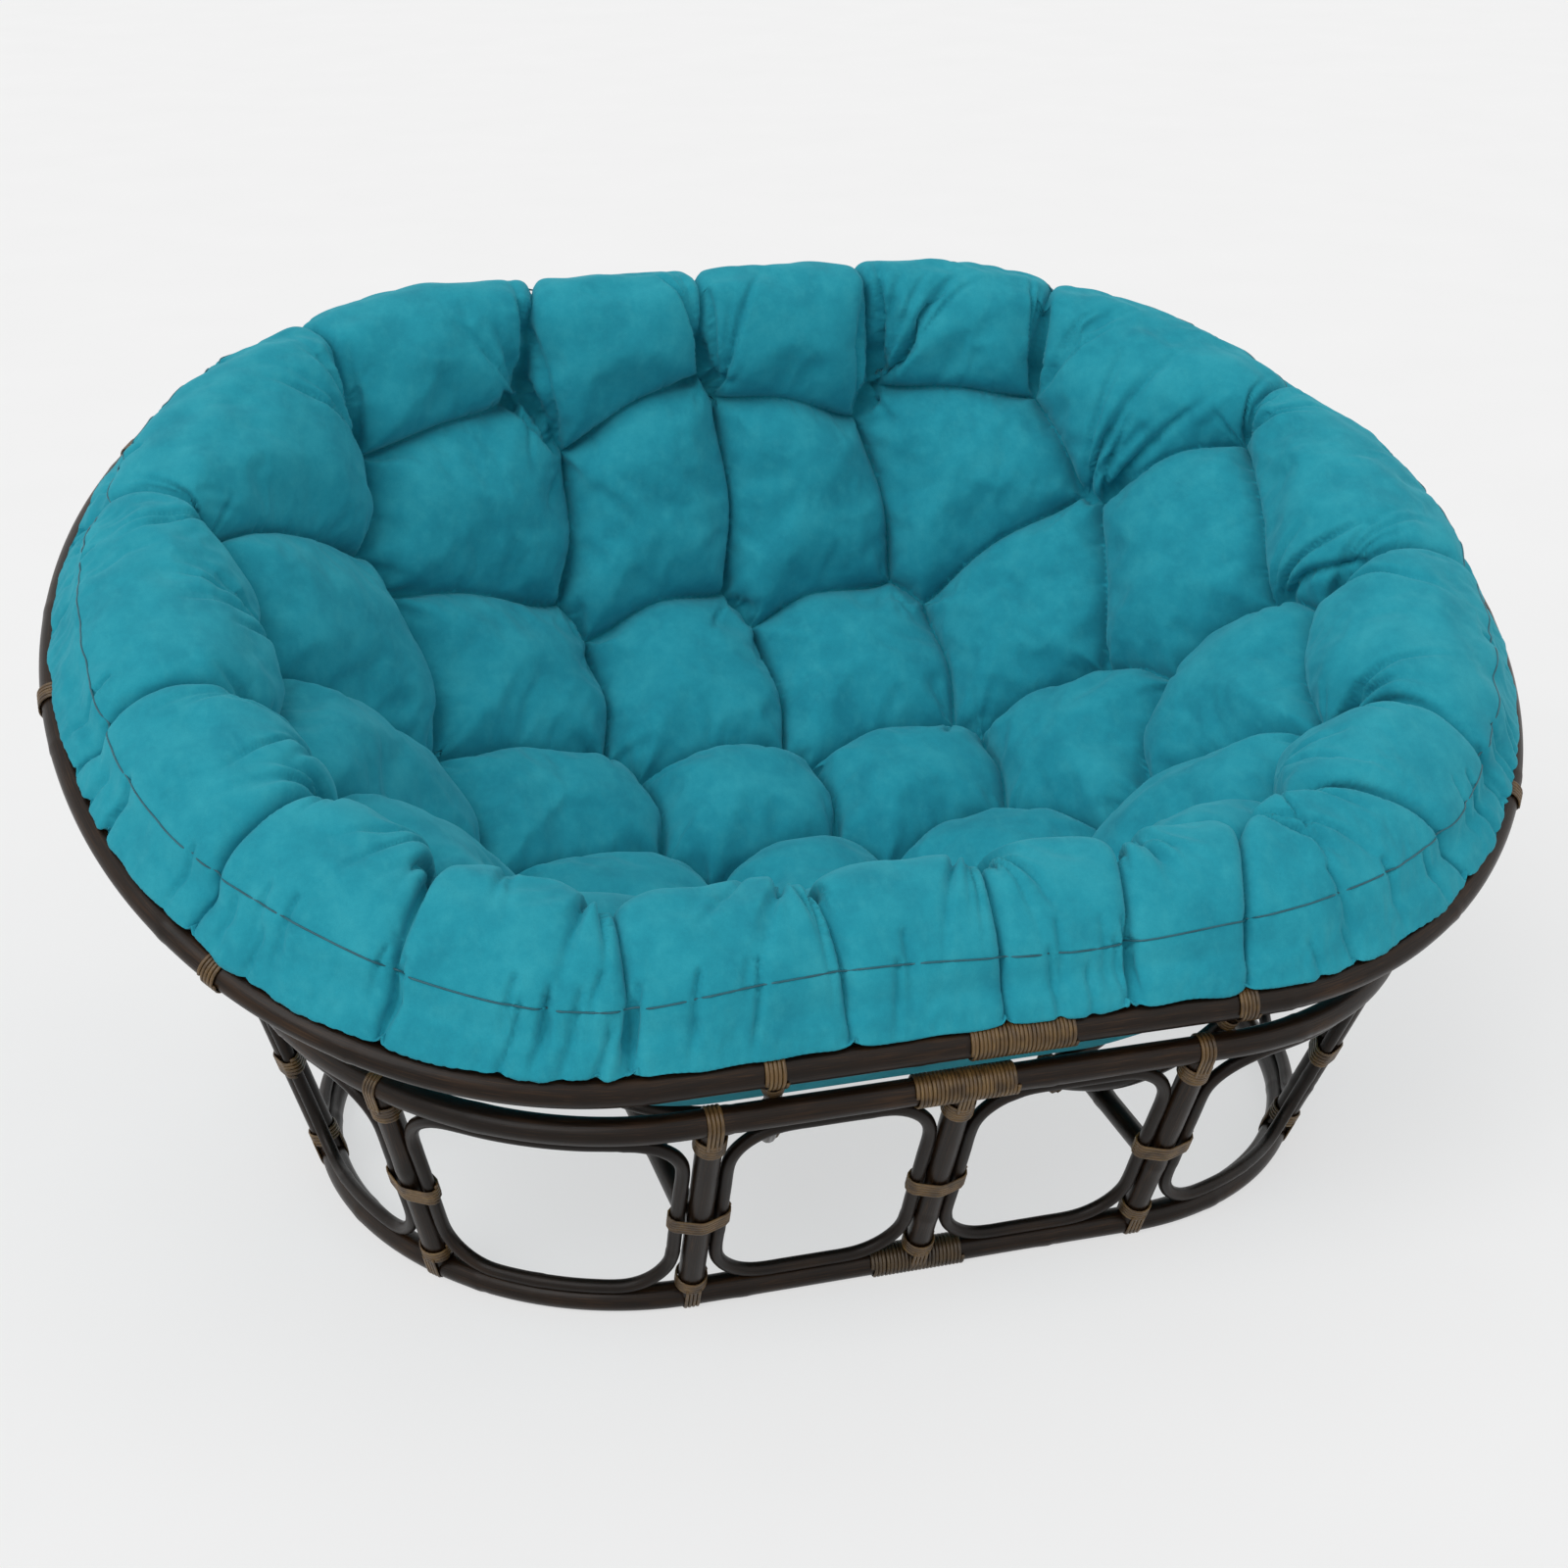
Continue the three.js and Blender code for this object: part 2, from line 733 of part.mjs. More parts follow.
function topUpright(place) {
  const step = weld * cushionHalfDepth;
  const inward = 1 - weld / Math.max(reachOf(place), weld);
  const from = { x: place.x * inward, y: place.y * inward };
  const [middle, right, back] = [[0, 0], [step, 0], [0, step]].map(([x, y]) => (
    topPoint({ x: from.x + x, y: from.y + y })
  ));
  return right.sub(middle).cross(back.sub(middle)).normalize();
}

// The dish drawn flat, and back
function flattened({ x, y }) {
  const stretch = 1 + flatteningShare * reachOf({ x, y }) ** 2;
  return new THREE.Vector2(x * stretch, y * stretch);
}

function raised(flat) {
  const far = reachOf(flat);
  let reach = far / (1 + flatteningShare);
  for (let i = 0; i < flatteningSteps; i += 1) {
    const miss = reach * (1 + flatteningShare * reach ** 2) - far;
    reach -= miss / (1 + 3 * flatteningShare * reach ** 2);
  }
  const shrink = far > 0 ? reach / far : 1;
  return { x: flat.x * shrink, y: flat.y * shrink };
}

function cellPlaces() {
  const lobes = lobeTurnShares.map((share, i) => {
    const { x, y } = cushionOval(lobeReachShares[i], rollLevel).getPoint(share);
    return { x, y, lobe: true };
  });
  const inner = cellPlaceShares.map(([x, y]) => ({ x: x * cushionHalfLength, y: y * cushionHalfDepth }));
  return [...lobes, ...inner].map((place) => ({ lobe: place.lobe, centre: flattened(place) }));
}

// Keeps what lies on the near side of the line halfway to another cell
function clipped(outline, centre, other) {
  const way = other.clone().sub(centre);
  const halfway = centre.clone().lerp(other, 0.5).dot(way);
  const over = (corner) => corner.flat.dot(way) - halfway;
  return outline.flatMap((corner, i) => {
    const next = outline[(i + 1) % outline.length];
    const [here, there] = [over(corner), over(next)];
    const kept = here <= 0 ? [corner] : [];
    if (here * there < 0) {
      const flat = corner.flat.clone().lerp(next.flat, here / (here - there));
      kept.push({ flat, alongEdge: here > 0 && corner.alongEdge, sewn: true });
    }
    return kept;
  });
}

// The outline of a cell, its long sides divided
function cellOutline(cell, cells, edge) {
  let outline = edge;
  for (const other of cells) if (other !== cell) outline = clipped(outline, cell.centre, other.centre);
  return outline.flatMap((corner, i) => {
    const next = outline[(i + 1) % outline.length];
    const onEdge = corner.alongEdge || outline.at(i - 1).alongEdge;
    const first = { flat: corner.flat, sewn: corner.sewn, onEdge };
    if (corner.alongEdge) return [first];
    const parts = Math.max(Math.round(corner.flat.distanceTo(next.flat) / cellStep), 1);
    const divided = Array.from({ length: parts - 1 }, (_, k) => {
      const flat = corner.flat.clone().lerp(next.flat, (k + 1) / parts);
      return { flat, onEdge: false, sewn: true };
    });
    return [first, ...divided];
  });
}

// How deep the cushion is drawn in at a corner of a cell
function drawnIn({ flat, onEdge, sewn }) {
  if (!sewn) return 0;
  const out = onEdge ? 1 : edgeShare(reachOf(raised(flat)));
  return creaseDepth * (1 - (1 - edgeCreaseShare) * out);
}

// A place on the edge is set on its true line, off the chord between its neighbours
function placeOf({ flat, onEdge }) {
  const place = raised(flat);
  if (!onEdge) return place;
  const reach = reachOf(place);
  return { x: place.x / reach, y: place.y / reach };
}

function cellPoint(corner, cell, share) {
  const outside = flattened(placeOf(corner));
  const place = share > 0 ? raised(outside.lerp(cell.centre, share)) : placeOf(corner);
  const sink = drawnIn(corner) * (1 - share) ** puffPower;
  return topPoint(place).addScaledVector(topUpright(place), -sink);
}

// A cell: rings that step from its outline towards its centre, and a point there
function cellFaces(cell, outline) {
  const shares = cell.lobe ? lobeRingShares : cellRingShares;
  const rings = shares.map((share) => outline.map((corner) => cellPoint(corner, cell, share)));
  const middle = topPoint(raised(cell.centre));
  const faces = [];
  for (let i = 0; i < outline.length; i += 1) {
    const next = (i + 1) % outline.length;
    for (let k = 1; k < rings.length; k += 1) {
      const [outer, inner] = [rings[k - 1], rings[k]];
      faces.push(inner[i], outer[i], outer[next], inner[i], outer[next], inner[next]);
    }
    faces.push(middle, rings.at(-1)[i], rings.at(-1)[next]);
  }
  return faces;
}

function lowerRings() {
  const inset = ribRadius + bowlRingTube + 2 * seatGap + ringEase + cushionEase;
  const floorHeight = bottomHeight + bowlRingRadius + seatGap + cushionEase;
  const floorDepth = bottomHalfDepth - bowlRingRadius;
  const ovalRing = (oval, count) => Array.from({ length: count }, (_, i) => oval.getPoint(i / count));
  return [
    ovalRing(cushionOval(1 - seamDrawIn / cushionHalfDepth, seamLevel), edgeSegments),
    ovalRing(cushionOval(1 + lowerEdgeStandOut / cushionHalfDepth, lowerEdgeLevel), edgeSegments),
    ...cushionLevels.map((level) => ovalRing(insideRibs(level, inset), undersideSegments)),
    ovalRing(
      new Oval(bottomHalfLength, floorDepth, bottomStraight, floorHeight, frontLift),
      undersideSegments,
    ),
  ];
}

// Where a point lies round the middle, as a share of a whole turn from the front
function turnOf({ x, y }) {
  const turn = Math.atan2(x, -y) / (2 * Math.PI);
  return turn < -weld ? turn + 1 : turn;
}

// Faces between two rings of any counts, always stepping on along the ring that lags
function stitch(inner, outer) {
  const faces = [];
  const nextTurn = (ring, i) => (i + 1 < ring.length ? turnOf(ring[i + 1]) : turnOf(ring[0]) + 1);
  let [a, b] = [0, 0];
  while (a < inner.length || b < outer.length) {
    const innerCorner = inner[a % inner.length];
    const outerCorner = outer[b % outer.length];
    const outerLags = a === inner.length || nextTurn(outer, b) <= nextTurn(inner, a);
    if (b < outer.length && outerLags) {
      faces.push(innerCorner, outerCorner, outer[(b + 1) % outer.length]);
      b += 1;
    } else {
      faces.push(innerCorner, outerCorner, inner[(a + 1) % inner.length]);
      a += 1;
    }
  }
  return faces;
}

function cushion() {
  const edgeOval = cushionOval(1, rollLevel);
  const edge = Array.from({ length: edgeSegments }, (_, i) => (
    { flat: flattened(edgeOval.getPoint(i / edgeSegments)), alongEdge: true, sewn: false }
  ));
  const cells = cellPlaces();
  const outlines = cells.map((cell) => cellOutline(cell, cells, edge));
  const faces = cells.flatMap((cell, i) => cellFaces(cell, outlines[i]));
  const seam = outlines.flatMap((outline, i) => (
    outline.filter((corner) => corner.onEdge).map((corner) => (
      { turn: turnOf(corner.flat), point: cellPoint(corner, cells[i], 0) }
    ))
  )).sort((a, b) => a.turn - b.turn).map(({ point }) => point);
  // a corner between two lobes comes once from each
  const edgeRing = seam.filter((point, i) => point.distanceTo(seam.at(i - 1)) > weld);
  const rings = [edgeRing, ...lowerRings()];
  for (let i = 1; i < rings.length; i += 1) faces.push(...stitch(rings[i - 1], rings[i]));
  const last = rings.at(-1);
  const bottom = last[0].clone().add(last[last.length / 2]).multiplyScalar(0.5);
  last.forEach((point, i) => faces.push(bottom, last[(i + 1) % last.length], point));
  const geometry = mergeVertices(new THREE.BufferGeometry().setFromPoints(faces), weld);
  geometry.computeVertexNormals();
  return named('cushion', geometry, suede);
}

// Assembly

const chair = new THREE.Group();
const base = new THREE.Group();
const bowl = new THREE.Group();
base.add(...baseRings(), ...posts.map(postPiece), ...ties(), ...loops(), ...braces());
base.add(splicePiece('splice_top_ring', ringSplice, topRing.getPoint(0)));

const rimSpliceMiddle = rimLevel.getPoint(0).setX(rimSpliceStart + (spliceTurns * turnPitch) / 2);
bowl.add(...bowlRings(), ...ribPieces(), splicePiece('splice_rim', rimSplice, rimSpliceMiddle), cushion());
bowl.position.z = axisHeight;
bowl.rotation.x = tilt;
chair.add(base, bowl);

// The bowl reaches out further behind than in front, so the middle of the whole is found last
const middle = new THREE.Box3().setFromObject(chair, true).getCenter(new THREE.Vector3());
chair.position.set(-middle.x, -middle.y, 0);

const gaps = [...postTies.map((tie) => tie.wound), ringSplice, rimSplice].map(leastTurnGap);
console.log(`least gap of a winding to itself: ${Math.min(...gaps).toFixed(2)} mm`);

export default chair;
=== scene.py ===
"""Looks for the double papasan chair: smooth bent poles and canes, strand by strand windings
and one deep tufted suede cushion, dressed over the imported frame.
Lengths are in metres. The frame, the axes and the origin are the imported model's own."""

import math

import bpy
import numpy as np
from mathutils import Matrix, Vector
from mathutils.geometry import delaunay_2d_cdt


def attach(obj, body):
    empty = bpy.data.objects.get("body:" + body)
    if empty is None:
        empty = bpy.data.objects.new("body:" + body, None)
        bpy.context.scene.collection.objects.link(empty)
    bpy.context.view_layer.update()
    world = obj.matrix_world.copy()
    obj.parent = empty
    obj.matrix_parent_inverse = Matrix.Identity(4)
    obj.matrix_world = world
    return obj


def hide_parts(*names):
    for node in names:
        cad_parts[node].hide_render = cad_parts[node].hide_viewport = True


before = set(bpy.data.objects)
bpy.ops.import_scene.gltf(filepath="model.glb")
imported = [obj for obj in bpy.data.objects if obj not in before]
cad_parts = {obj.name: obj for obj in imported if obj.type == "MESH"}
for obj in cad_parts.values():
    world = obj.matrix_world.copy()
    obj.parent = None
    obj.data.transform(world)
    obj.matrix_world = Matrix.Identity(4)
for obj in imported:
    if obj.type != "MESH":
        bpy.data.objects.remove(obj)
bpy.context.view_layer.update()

# Poles, canes and strands: radii, sides of their sections and steps along them

RIM_RADIUS = 0.0157
BASE_RADIUS = 0.0142
POST_RADIUS = 0.0138
BRACE_RADIUS = 0.0123
LOOP_RADIUS = 0.0073
RIB_RADIUS = 0.0087
BOWL_RING_RADIUS = 0.0088
RIM_SIDES = 22
RING_SIDES = 20
POST_SIDES = 18
BRACE_SIDES = 16
THIN_SIDES = 14
POLE_STEP = 0.006
POLE_SWELL = 0.0007
CANE_SWELL = 0.0004
POLE_WAVES = ((0.012, 9, 1), (0.008, 23, 2))
UPRIGHT = 0.9
NODE_SPACING = 0.23
NODE_START = (0.3, 0.9)
NODE_APART = (0.8, 1.25)
NODE_END_ROOM = 0.02
NODE_WIDTH = 0.009
GROOVE_SHIFT = 0.006
GROOVE_WIDTH = 0.0022
JOIN_STEPS = 8
GRAIN_WIDTH = 0.04
STRAND = 0.0042
STRAND_THICK = 0.0026
STRAND_SIDES = 6
STRAND_OUT_SHARE = 0.8
STRAND_LEAN = 0.035
CROSS_STRAND = STRAND * 0.9
CROSS_ROOM = 1.12
OVAL_STEPS = 1500
SPAN_STEPS = 12

# Base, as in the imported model

TOP_RING = dict(half_length=0.648972, half_depth=0.513064, straight=0.279972, height=0.292)
FOOT_RING = dict(half_length=0.563972, half_depth=0.381064, straight=0.245972, height=0.013)
POST_TOP_SHARES = (0, 0.26, 0.62, 1)
POST_FOOT_SHARES = (0, 0.31, 0.66, 1)
POST_NAMES = ("middle", "inner", "outer", "end")
LOOP_CORNER = 0.060
LOOP_CORNER_STEPS = 6
LOOP_ACROSS_STEPS = 5
LOOP_UP_STEPS = 4
OFF_RING = 0.0223
OFF_POST = 0.0218
TIE_HEIGHT_SHARE = 0.47
BRACE_HEIGHT_SHARE = 0.37
BRACE_END_ROOM = 0.010
STRAP_STRANDS = 4
STRAP_DEPTH = 0.026
STRAP_STEP = 0.004
STRAP_POINTS = 15
STRAP_OUT_SHARE = 0.45
STRAP_HALF_WIDTH = STRAND * 0.49
WINDING_GAP = 0.016
END_SEED = 40

# Bowl, in its own frame, whose origin is on the tilt axis

RIM = dict(half_length=0.810, half_depth=0.603, straight=0.303, height=-0.099)
RIM_DROP = 0.099
TILT = math.radians(23)
AXIS_HEIGHT = 0.666786
FORWARD_SHIFT = 0.042139
RIB_ANGLES = (74, 66, 58, 50, 41, 32)
RIB_LENGTH_SHARES = (0.92, 0.83, 0.73, 0.59, 0.42, 0.25)
RIB_STRAIGHT_SHARES = (0.9, 0.78, 0.66, 0.52, 0.36, 0.22)
RIB_LIFTS = (0, 0, 0.0021, 0.01512, 0.03612, 0.042)
MIDDLE_LEVEL = 3
MIDDLE_INSET = 0.0188
BOTTOM = dict(half_length=0.150, half_depth=0.200, straight=0.030, height=-0.549, lift=0.042)
RIB_LEFT_SHARES = (0.166, 0.645)
RIB_RIGHT_SHARES = (0.25, 0.66)
RIB_ARC = math.hypot(RIM["half_depth"], RIM_DROP)
RIM_SPLICE_PLACE = 0.055
RIB_HEAD_STEPS = 8
RIM_TIE_SEED = 70
RIB_TIE_SEED = 90
CROSS_SEED = 110

# Cushion, in the bowl's frame: its plain dish, side and underside

CUSHION = dict(half_length=0.788, half_depth=0.580, straight=0.290)
CREST_SHARE = 0.86
CREST_LEVEL = 0.014
CREST_SHIFT = 0.022
HOLLOW_LEVEL = -0.355
ROLL_LEVEL = -0.046
SIDE_SHAPE = ((0.006, -0.062), (-0.006, -0.080), (0.014, -0.082), (0.026, -0.098))
UNDERSIDE_INSET = 0.0395
UNDERSIDE = dict(half_length=0.150, half_depth=0.191, straight=0.030, height=-0.5377, lift=0.042)

# Cushion: its cells, as turns and reaches of the lobes and as shares of its half sizes

LOBE_TURNS = (0.031, 0.066, 0.098, 0.13, 0.196, 0.256, 0.348, 0.406, 0.462,
              0.534, 0.59, 0.661, 0.755, 0.806, 0.85, 0.889, 0.941, 0.991)
LOBE_REACHES = (0.84, 0.84, 0.87, 0.8, 0.8, 0.79, 0.755, 0.75, 0.745,
                0.745, 0.75, 0.76, 0.81, 0.83, 0.84, 0.84, 0.84, 0.84)
CELL_PLACES = (
    (-0.35, 0.545), (-0.1, 0.548), (0.15, 0.54), (0.38, 0.525),
    (-0.59, 0.19), (-0.34, 0.29), (-0.07, 0.285), (0.193, 0.275), (0.425, 0.25), (0.605, 0.15),
    (-0.58, -0.11), (-0.305, -0.02), (-0.045, -0.03), (0.22, -0.04), (0.435, -0.07), (0.6, -0.23),
    (-0.52, -0.39), (-0.25, -0.276), (0.008, -0.284), (0.267, -0.293), (0.48, -0.45),
    (-0.334, -0.595), (-0.076, -0.603), (0.19, -0.603), (0.4, -0.66),
)
FLATTENING = 0.35
FAR_CORNER = 3
NEAREST = 7

# Cushion: its sewn lines and how they bow, its edge and its puffs

EDGE_BAND = 0.090
EDGE_BLEND = (-0.33, -0.12)
SEAM_BAND = -0.014
SEAM_WANDER = 0.005
SEAM_WAVES = 9
SEAM_RADIUS = 0.0011
SEAM_STEP = 0.003
BOW_SHARE = 0.11
BOW_MOST = 0.017
BOW_SPREAD = 0.4
BOW_WAY = (0.35, 1.0)
BOW_LIMIT = -0.28
PUFF_POWER = 2.0
EDGE_PUFF_POWER = 8.0
LINE_DEPTH = 0.050
TUFT_DEPTH = 0.082
TUFT_SPREAD = 0.055
EDGE_DEPTH_SHARE = 0.34
SKIN_INSET = 0.004
BACK_INSET = 0.009
BACK_BLEND = (0.1, 0.6)
BACK_RIGHT_INSET = 0.016
BACK_RIGHT_BLENDS = ((0.1, 0.7), (-0.1, 0.45))
INSET_TOP = (0.75, 1)

# Cushion: the steps of its mesh and its cloth

CLOTH_STEP = 0.0095
LINE_STEP = 0.008
LINE_ROW = 0.0035
SIDE_STEP = 0.012
SIDE_COUNT = 420
PRESSURE = 4.0
SPARE_CLOTH = 0.03
CLOTH_FRAMES = 20
PIN_LEVELS = 20
PIN_LINE = (0.001, 0.009)
PIN_TOP = (0.45, 0.95)
PIN_LEAST_TOP = 0.02
EDGE_PIN_EASE = 0.5
MOST_MOVE = 0.020
MOVE_TOP = (0.3, 0.95)
MOVE_LINE = (0.0, 0.03)

# Cushion: folds, as ranges that each one's turn, length, width and depth are drawn from

LONG_FOLD = ((-0.45, 0.45), (0.14, 0.34), (0.0035, 0.006), (0.006, 0.011))
SHORT_FOLD = ((0, 2 * math.pi), (0.03, 0.07), (0.0035, 0.006), (0.003, 0.006))
GATHER = ((-0.12, 0.12), (0.07, 0.13), (0.004, 0.008), (0.004, 0.008))
TUFT_FOLDS = 4
EDGE_TUFT_FOLDS = 7
EDGE_TUFT_REACH = 0.70
LONG_FOLD_SHARE = 0.7
FOLD_GAP = 0.004
FOLD_WIDTHS = (0.6, 0.9)
FOLD_RISE = (0, 0.12)
FOLD_FALL = (0.35, 1)
GATHERS = 110
GATHER_START = (-0.07, 0)
FOLD_TOP = (0.0, 0.4)
RIPPLE_SCALE = 0.10
RIPPLE_HEIGHT = 0.0016
RIPPLE_WAVES = 9
RIPPLE_SPREAD = 3.2
RIPPLE_SEED = 21
FOLD_SEED = 14

# Floor, light and camera

FLOOR_SIZE = 40
FLOOR_GLOW = 0.6
WHITE = (1, 1, 1, 1)
WORLD_GREY = (0.46, 0.46, 0.46, 1)
SUNS = (
    ("key", (0.75, 0.55, -0.9), 1.35, 50),
    ("fill", (-0.7, 0.5, -0.6), 0.28, 70),
    ("back", (-0.1, -0.8, -0.7), 0.30, 60),
)
CAMERA_PLACE = (-0.8055, -2.6377, 1.5643)
CAMERA_TURN = 0.2793
CAMERA_DIP = 0.4048
CAMERA_ROLL = -0.003
CAMERA_LENS = 59.88
CAMERA_SHIFT = 0.0166


# Curves: each is a list of points, and closed ones don't repeat their first

OVALS = {}


def unit(vector):
    return vector / np.linalg.norm(vector)


def reach_along(line):
    """How far along a line each of its points lies."""
    return np.r_[0, np.cumsum(np.linalg.norm(np.diff(line, axis=0), axis=1))]


def oval_line(half_length, half_depth, straight):
    """An oval's points from the middle of its front, their shares of its length, and the length."""
    key = (half_length, half_depth, straight)
    if key not in OVALS:
        angles = np.linspace(-math.pi / 2, math.pi / 2, OVAL_STEPS)
        bend = half_length - straight
        right = np.c_[straight + bend * np.cos(angles), half_depth * np.sin(angles)]
        left = np.c_[-straight - bend * np.cos(angles), -half_depth * np.sin(angles)]
        start = np.array([[0.0, -half_depth]])
        line = np.concatenate([start, right, left, start])
        reach = reach_along(line)
        OVALS[key] = (line, reach / reach[-1], reach[-1])
    return OVALS[key]


def oval_point(share, half_length, half_depth, straight, height, lift=0.0):
    """A point of an oval with straight runs in front and behind. Share 0 is the middle of
    the front and 0.25 the right end. Lift is how much higher the front lies than the back."""
    line, shares, _ = oval_line(half_length, half_depth, straight)
    turn = np.mod(np.asarray(share, float), 1)
    x = np.interp(turn, shares, line[:, 0])
    y = np.interp(turn, shares, line[:, 1])
    z = height + lift / 2 - y * lift / (2 * half_depth)
    return np.stack([x, y, z * np.ones_like(x)], -1)


def oval_length(ring):
    return oval_line(ring["half_length"], ring["half_depth"], ring["straight"])[2]


def oval_tangent(share, **ring):
    step = 0.0005
    return unit(oval_point(share + step, **ring) - oval_point(share - step, **ring))


def blend(t, start, end, a, b):
    return (end - t) / (end - start) * a + (t - start) / (end - start) * b


def smooth_line(points, closed, spacing):
    """Points at even spacing on a smooth line through the given ones."""
    pts = np.asarray(points, float)
    count = len(pts)
    spans = count if closed else count - 1
    out = []
    for i in range(spans):
        if closed:
            p0, p1, p2, p3 = (pts[(i + k) % count] for k in (-1, 0, 1, 2))
        else:
            p1, p2 = pts[i], pts[i + 1]
            p0 = pts[i - 1] if i else 2 * p1 - p2
            p3 = pts[i + 2] if i + 2 < count else 2 * p2 - p1
        knots = [0.0]
        for a, b in ((p0, p1), (p1, p2), (p2, p3)):
            knots.append(knots[-1] + max(np.linalg.norm(b - a), 1e-6) ** 0.5)
        t0, t1, t2, t3 = knots
        t = np.linspace(t1, t2, SPAN_STEPS + 1)[:-1, None]
        middle = blend(t, t1, t2, p1, p2)
        before = blend(t, t0, t2, blend(t, t0, t1, p0, p1), middle)
        after = blend(t, t1, t3, middle, blend(t, t2, t3, p2, p3))
        out.append(blend(t, t1, t2, before, after))
    line = np.concatenate(out + [pts[:1] if closed else pts[-1:]])
    return even_line(line, spacing, closed)


def even_line(line, spacing, closed):
    reach = reach_along(line)
    steps = max(int(round(reach[-1] / spacing)), 2)
    at = np.linspace(0, reach[-1], steps + 1)
    even = np.stack([np.interp(at, reach, line[:, k]) for k in range(3)], -1)
    return even[:-1] if closed else even


def tangents(points, closed):
    if closed:
        along = np.roll(points, -1, axis=0) - np.roll(points, 1, axis=0)
    else:
        along = np.gradient(points, axis=0)
    return along / np.linalg.norm(along, axis=1, keepdims=True)


def upright_frames(along, closed):
    """Side vectors that turn as little as possible along the line."""
    start = np.array([0.0, 0, 1]) if abs(along[0][2]) < UPRIGHT else np.array([1.0, 0, 0])
    sides = [unit(np.cross(along[0], start))]
    for tangent in along[1:]:
        sides.append(unit(sides[-1] - tangent * sides[-1].dot(tangent)))
    sides = np.array(sides)
    if closed:
        last = unit(sides[-1] - along[0] * sides[-1].dot(along[0]))
        twist = math.atan2(np.cross(last, sides[0]).dot(along[0]), last.dot(sides[0]))
        turn = np.linspace(0, twist, len(sides))[:, None]
        sides = sides * np.cos(turn) + np.cross(along, sides) * np.sin(turn)
    return sides, np.cross(along, sides)

# Meshes

def make_object(name, verts, faces, uvs, material):
    mesh = bpy.data.meshes.new(name)
    mesh.from_pydata([tuple(v) for v in verts], [], [tuple(f) for f in faces])
    if uvs is not None:
        layer = mesh.uv_layers.new(name="length")
        index = np.zeros(len(mesh.loops), dtype=np.int32)
        mesh.loops.foreach_get("vertex_index", index)
        flat = np.asarray(uvs, np.float32)[index]
        layer.data.foreach_set("uv", flat.ravel())
    mesh.materials.append(material)
    mesh.polygons.foreach_set("use_smooth", [True] * len(mesh.polygons))
    mesh.update()
    obj = bpy.data.objects.new(name, mesh)
    bpy.context.scene.collection.objects.link(obj)
    return obj


def tube_parts(points, radii, closed, sides, flat=None):
    """Corners, faces and lengthwise places of a tube. With flat, which gives its outer side at
    each point, the section is a flattened strip."""
    pts = np.asarray(points, float)
    along = tangents(pts, closed)
    if flat is None:
        across, up = upright_frames(along, closed)
        wide = thick = np.broadcast_to(radii, (len(pts),))
    else:
        up = flat - along * (flat * along).sum(1, keepdims=True)
        up /= np.linalg.norm(up, axis=1, keepdims=True)
        across = np.cross(up, along)
        wide, thick = radii
        wide = np.broadcast_to(wide, (len(pts),))
        thick = np.broadcast_to(thick, (len(pts),))
    angles = np.arange(sides) * 2 * math.pi / sides
    ring = (across[:, None] * (np.cos(angles)[None, :, None] * wide[:, None, None])
            + up[:, None] * (np.sin(angles)[None, :, None] * thick[:, None, None]))
    verts = (pts[:, None] + ring).reshape(-1, 3)
    reach = reach_along(pts)
    fold = np.abs(np.arange(sides) / sides * 2 - 1) * GRAIN_WIDTH
    uvs = np.stack([np.tile(fold, len(pts)), np.repeat(reach, sides)], -1)
    rows = len(pts) if closed else len(pts) - 1
    faces = []
    for i in range(rows):
        a, b = i * sides, ((i + 1) % len(pts)) * sides
        for j in range(sides):
            k = (j + 1) % sides
            faces.append((a + j, a + k, b + k, b + j))
    if not closed:
        faces.append(tuple(reversed(range(sides))))
        last = (len(pts) - 1) * sides
        faces.append(tuple(range(last, last + sides)))
    return verts, faces, uvs


def join_parts(parts):
    verts, faces, uvs = [], [], []
    start = 0
    for v, f, u in parts:
        verts.append(v)
        uvs.append(u)
        faces.extend(tuple(i + start for i in face) for face in f)
        start += len(v)
    return np.concatenate(verts), faces, np.concatenate(uvs)


def pole_radii(points, radius, seed, swell):
    """A pole's radius along it: a little uneven, with a low ring at each node of the plant."""
    reach = reach_along(points)
    rng = np.random.default_rng(seed)
    uneven = 1
    for height, often, shift in POLE_WAVES:
        uneven = uneven + height * np.sin(reach * often + shift * seed)
    radii = radius * uneven
    node = rng.uniform(*NODE_START) * NODE_SPACING
    while node < reach[-1] - NODE_END_ROOM:
        radii = radii + swell * np.exp(-((reach - node) / NODE_WIDTH) ** 2)
        radii = radii - 0.9 * swell * np.exp(-((reach - node - GROOVE_SHIFT) / GROOVE_WIDTH) ** 2)
        node += NODE_SPACING * rng.uniform(*NODE_APART)
    return np.minimum(radii, radius + swell)


def to_world(points):
    """From the bowl's own frame at rest to the world's."""
    p = np.asarray(points, float)
    c, s = math.cos(TILT), math.sin(TILT)
    y = p[..., 1] * c - p[..., 2] * s - FORWARD_SHIFT
    z = p[..., 1] * s + p[..., 2] * c + AXIS_HEIGHT
    return np.stack([p[..., 0], y, z], -1)


def base_to_world(points):
    return np.asarray(points, float) - np.array([0, FORWARD_SHIFT, 0])


IN_WORLD = {"base": base_to_world, "bowl": to_world}


# Materials

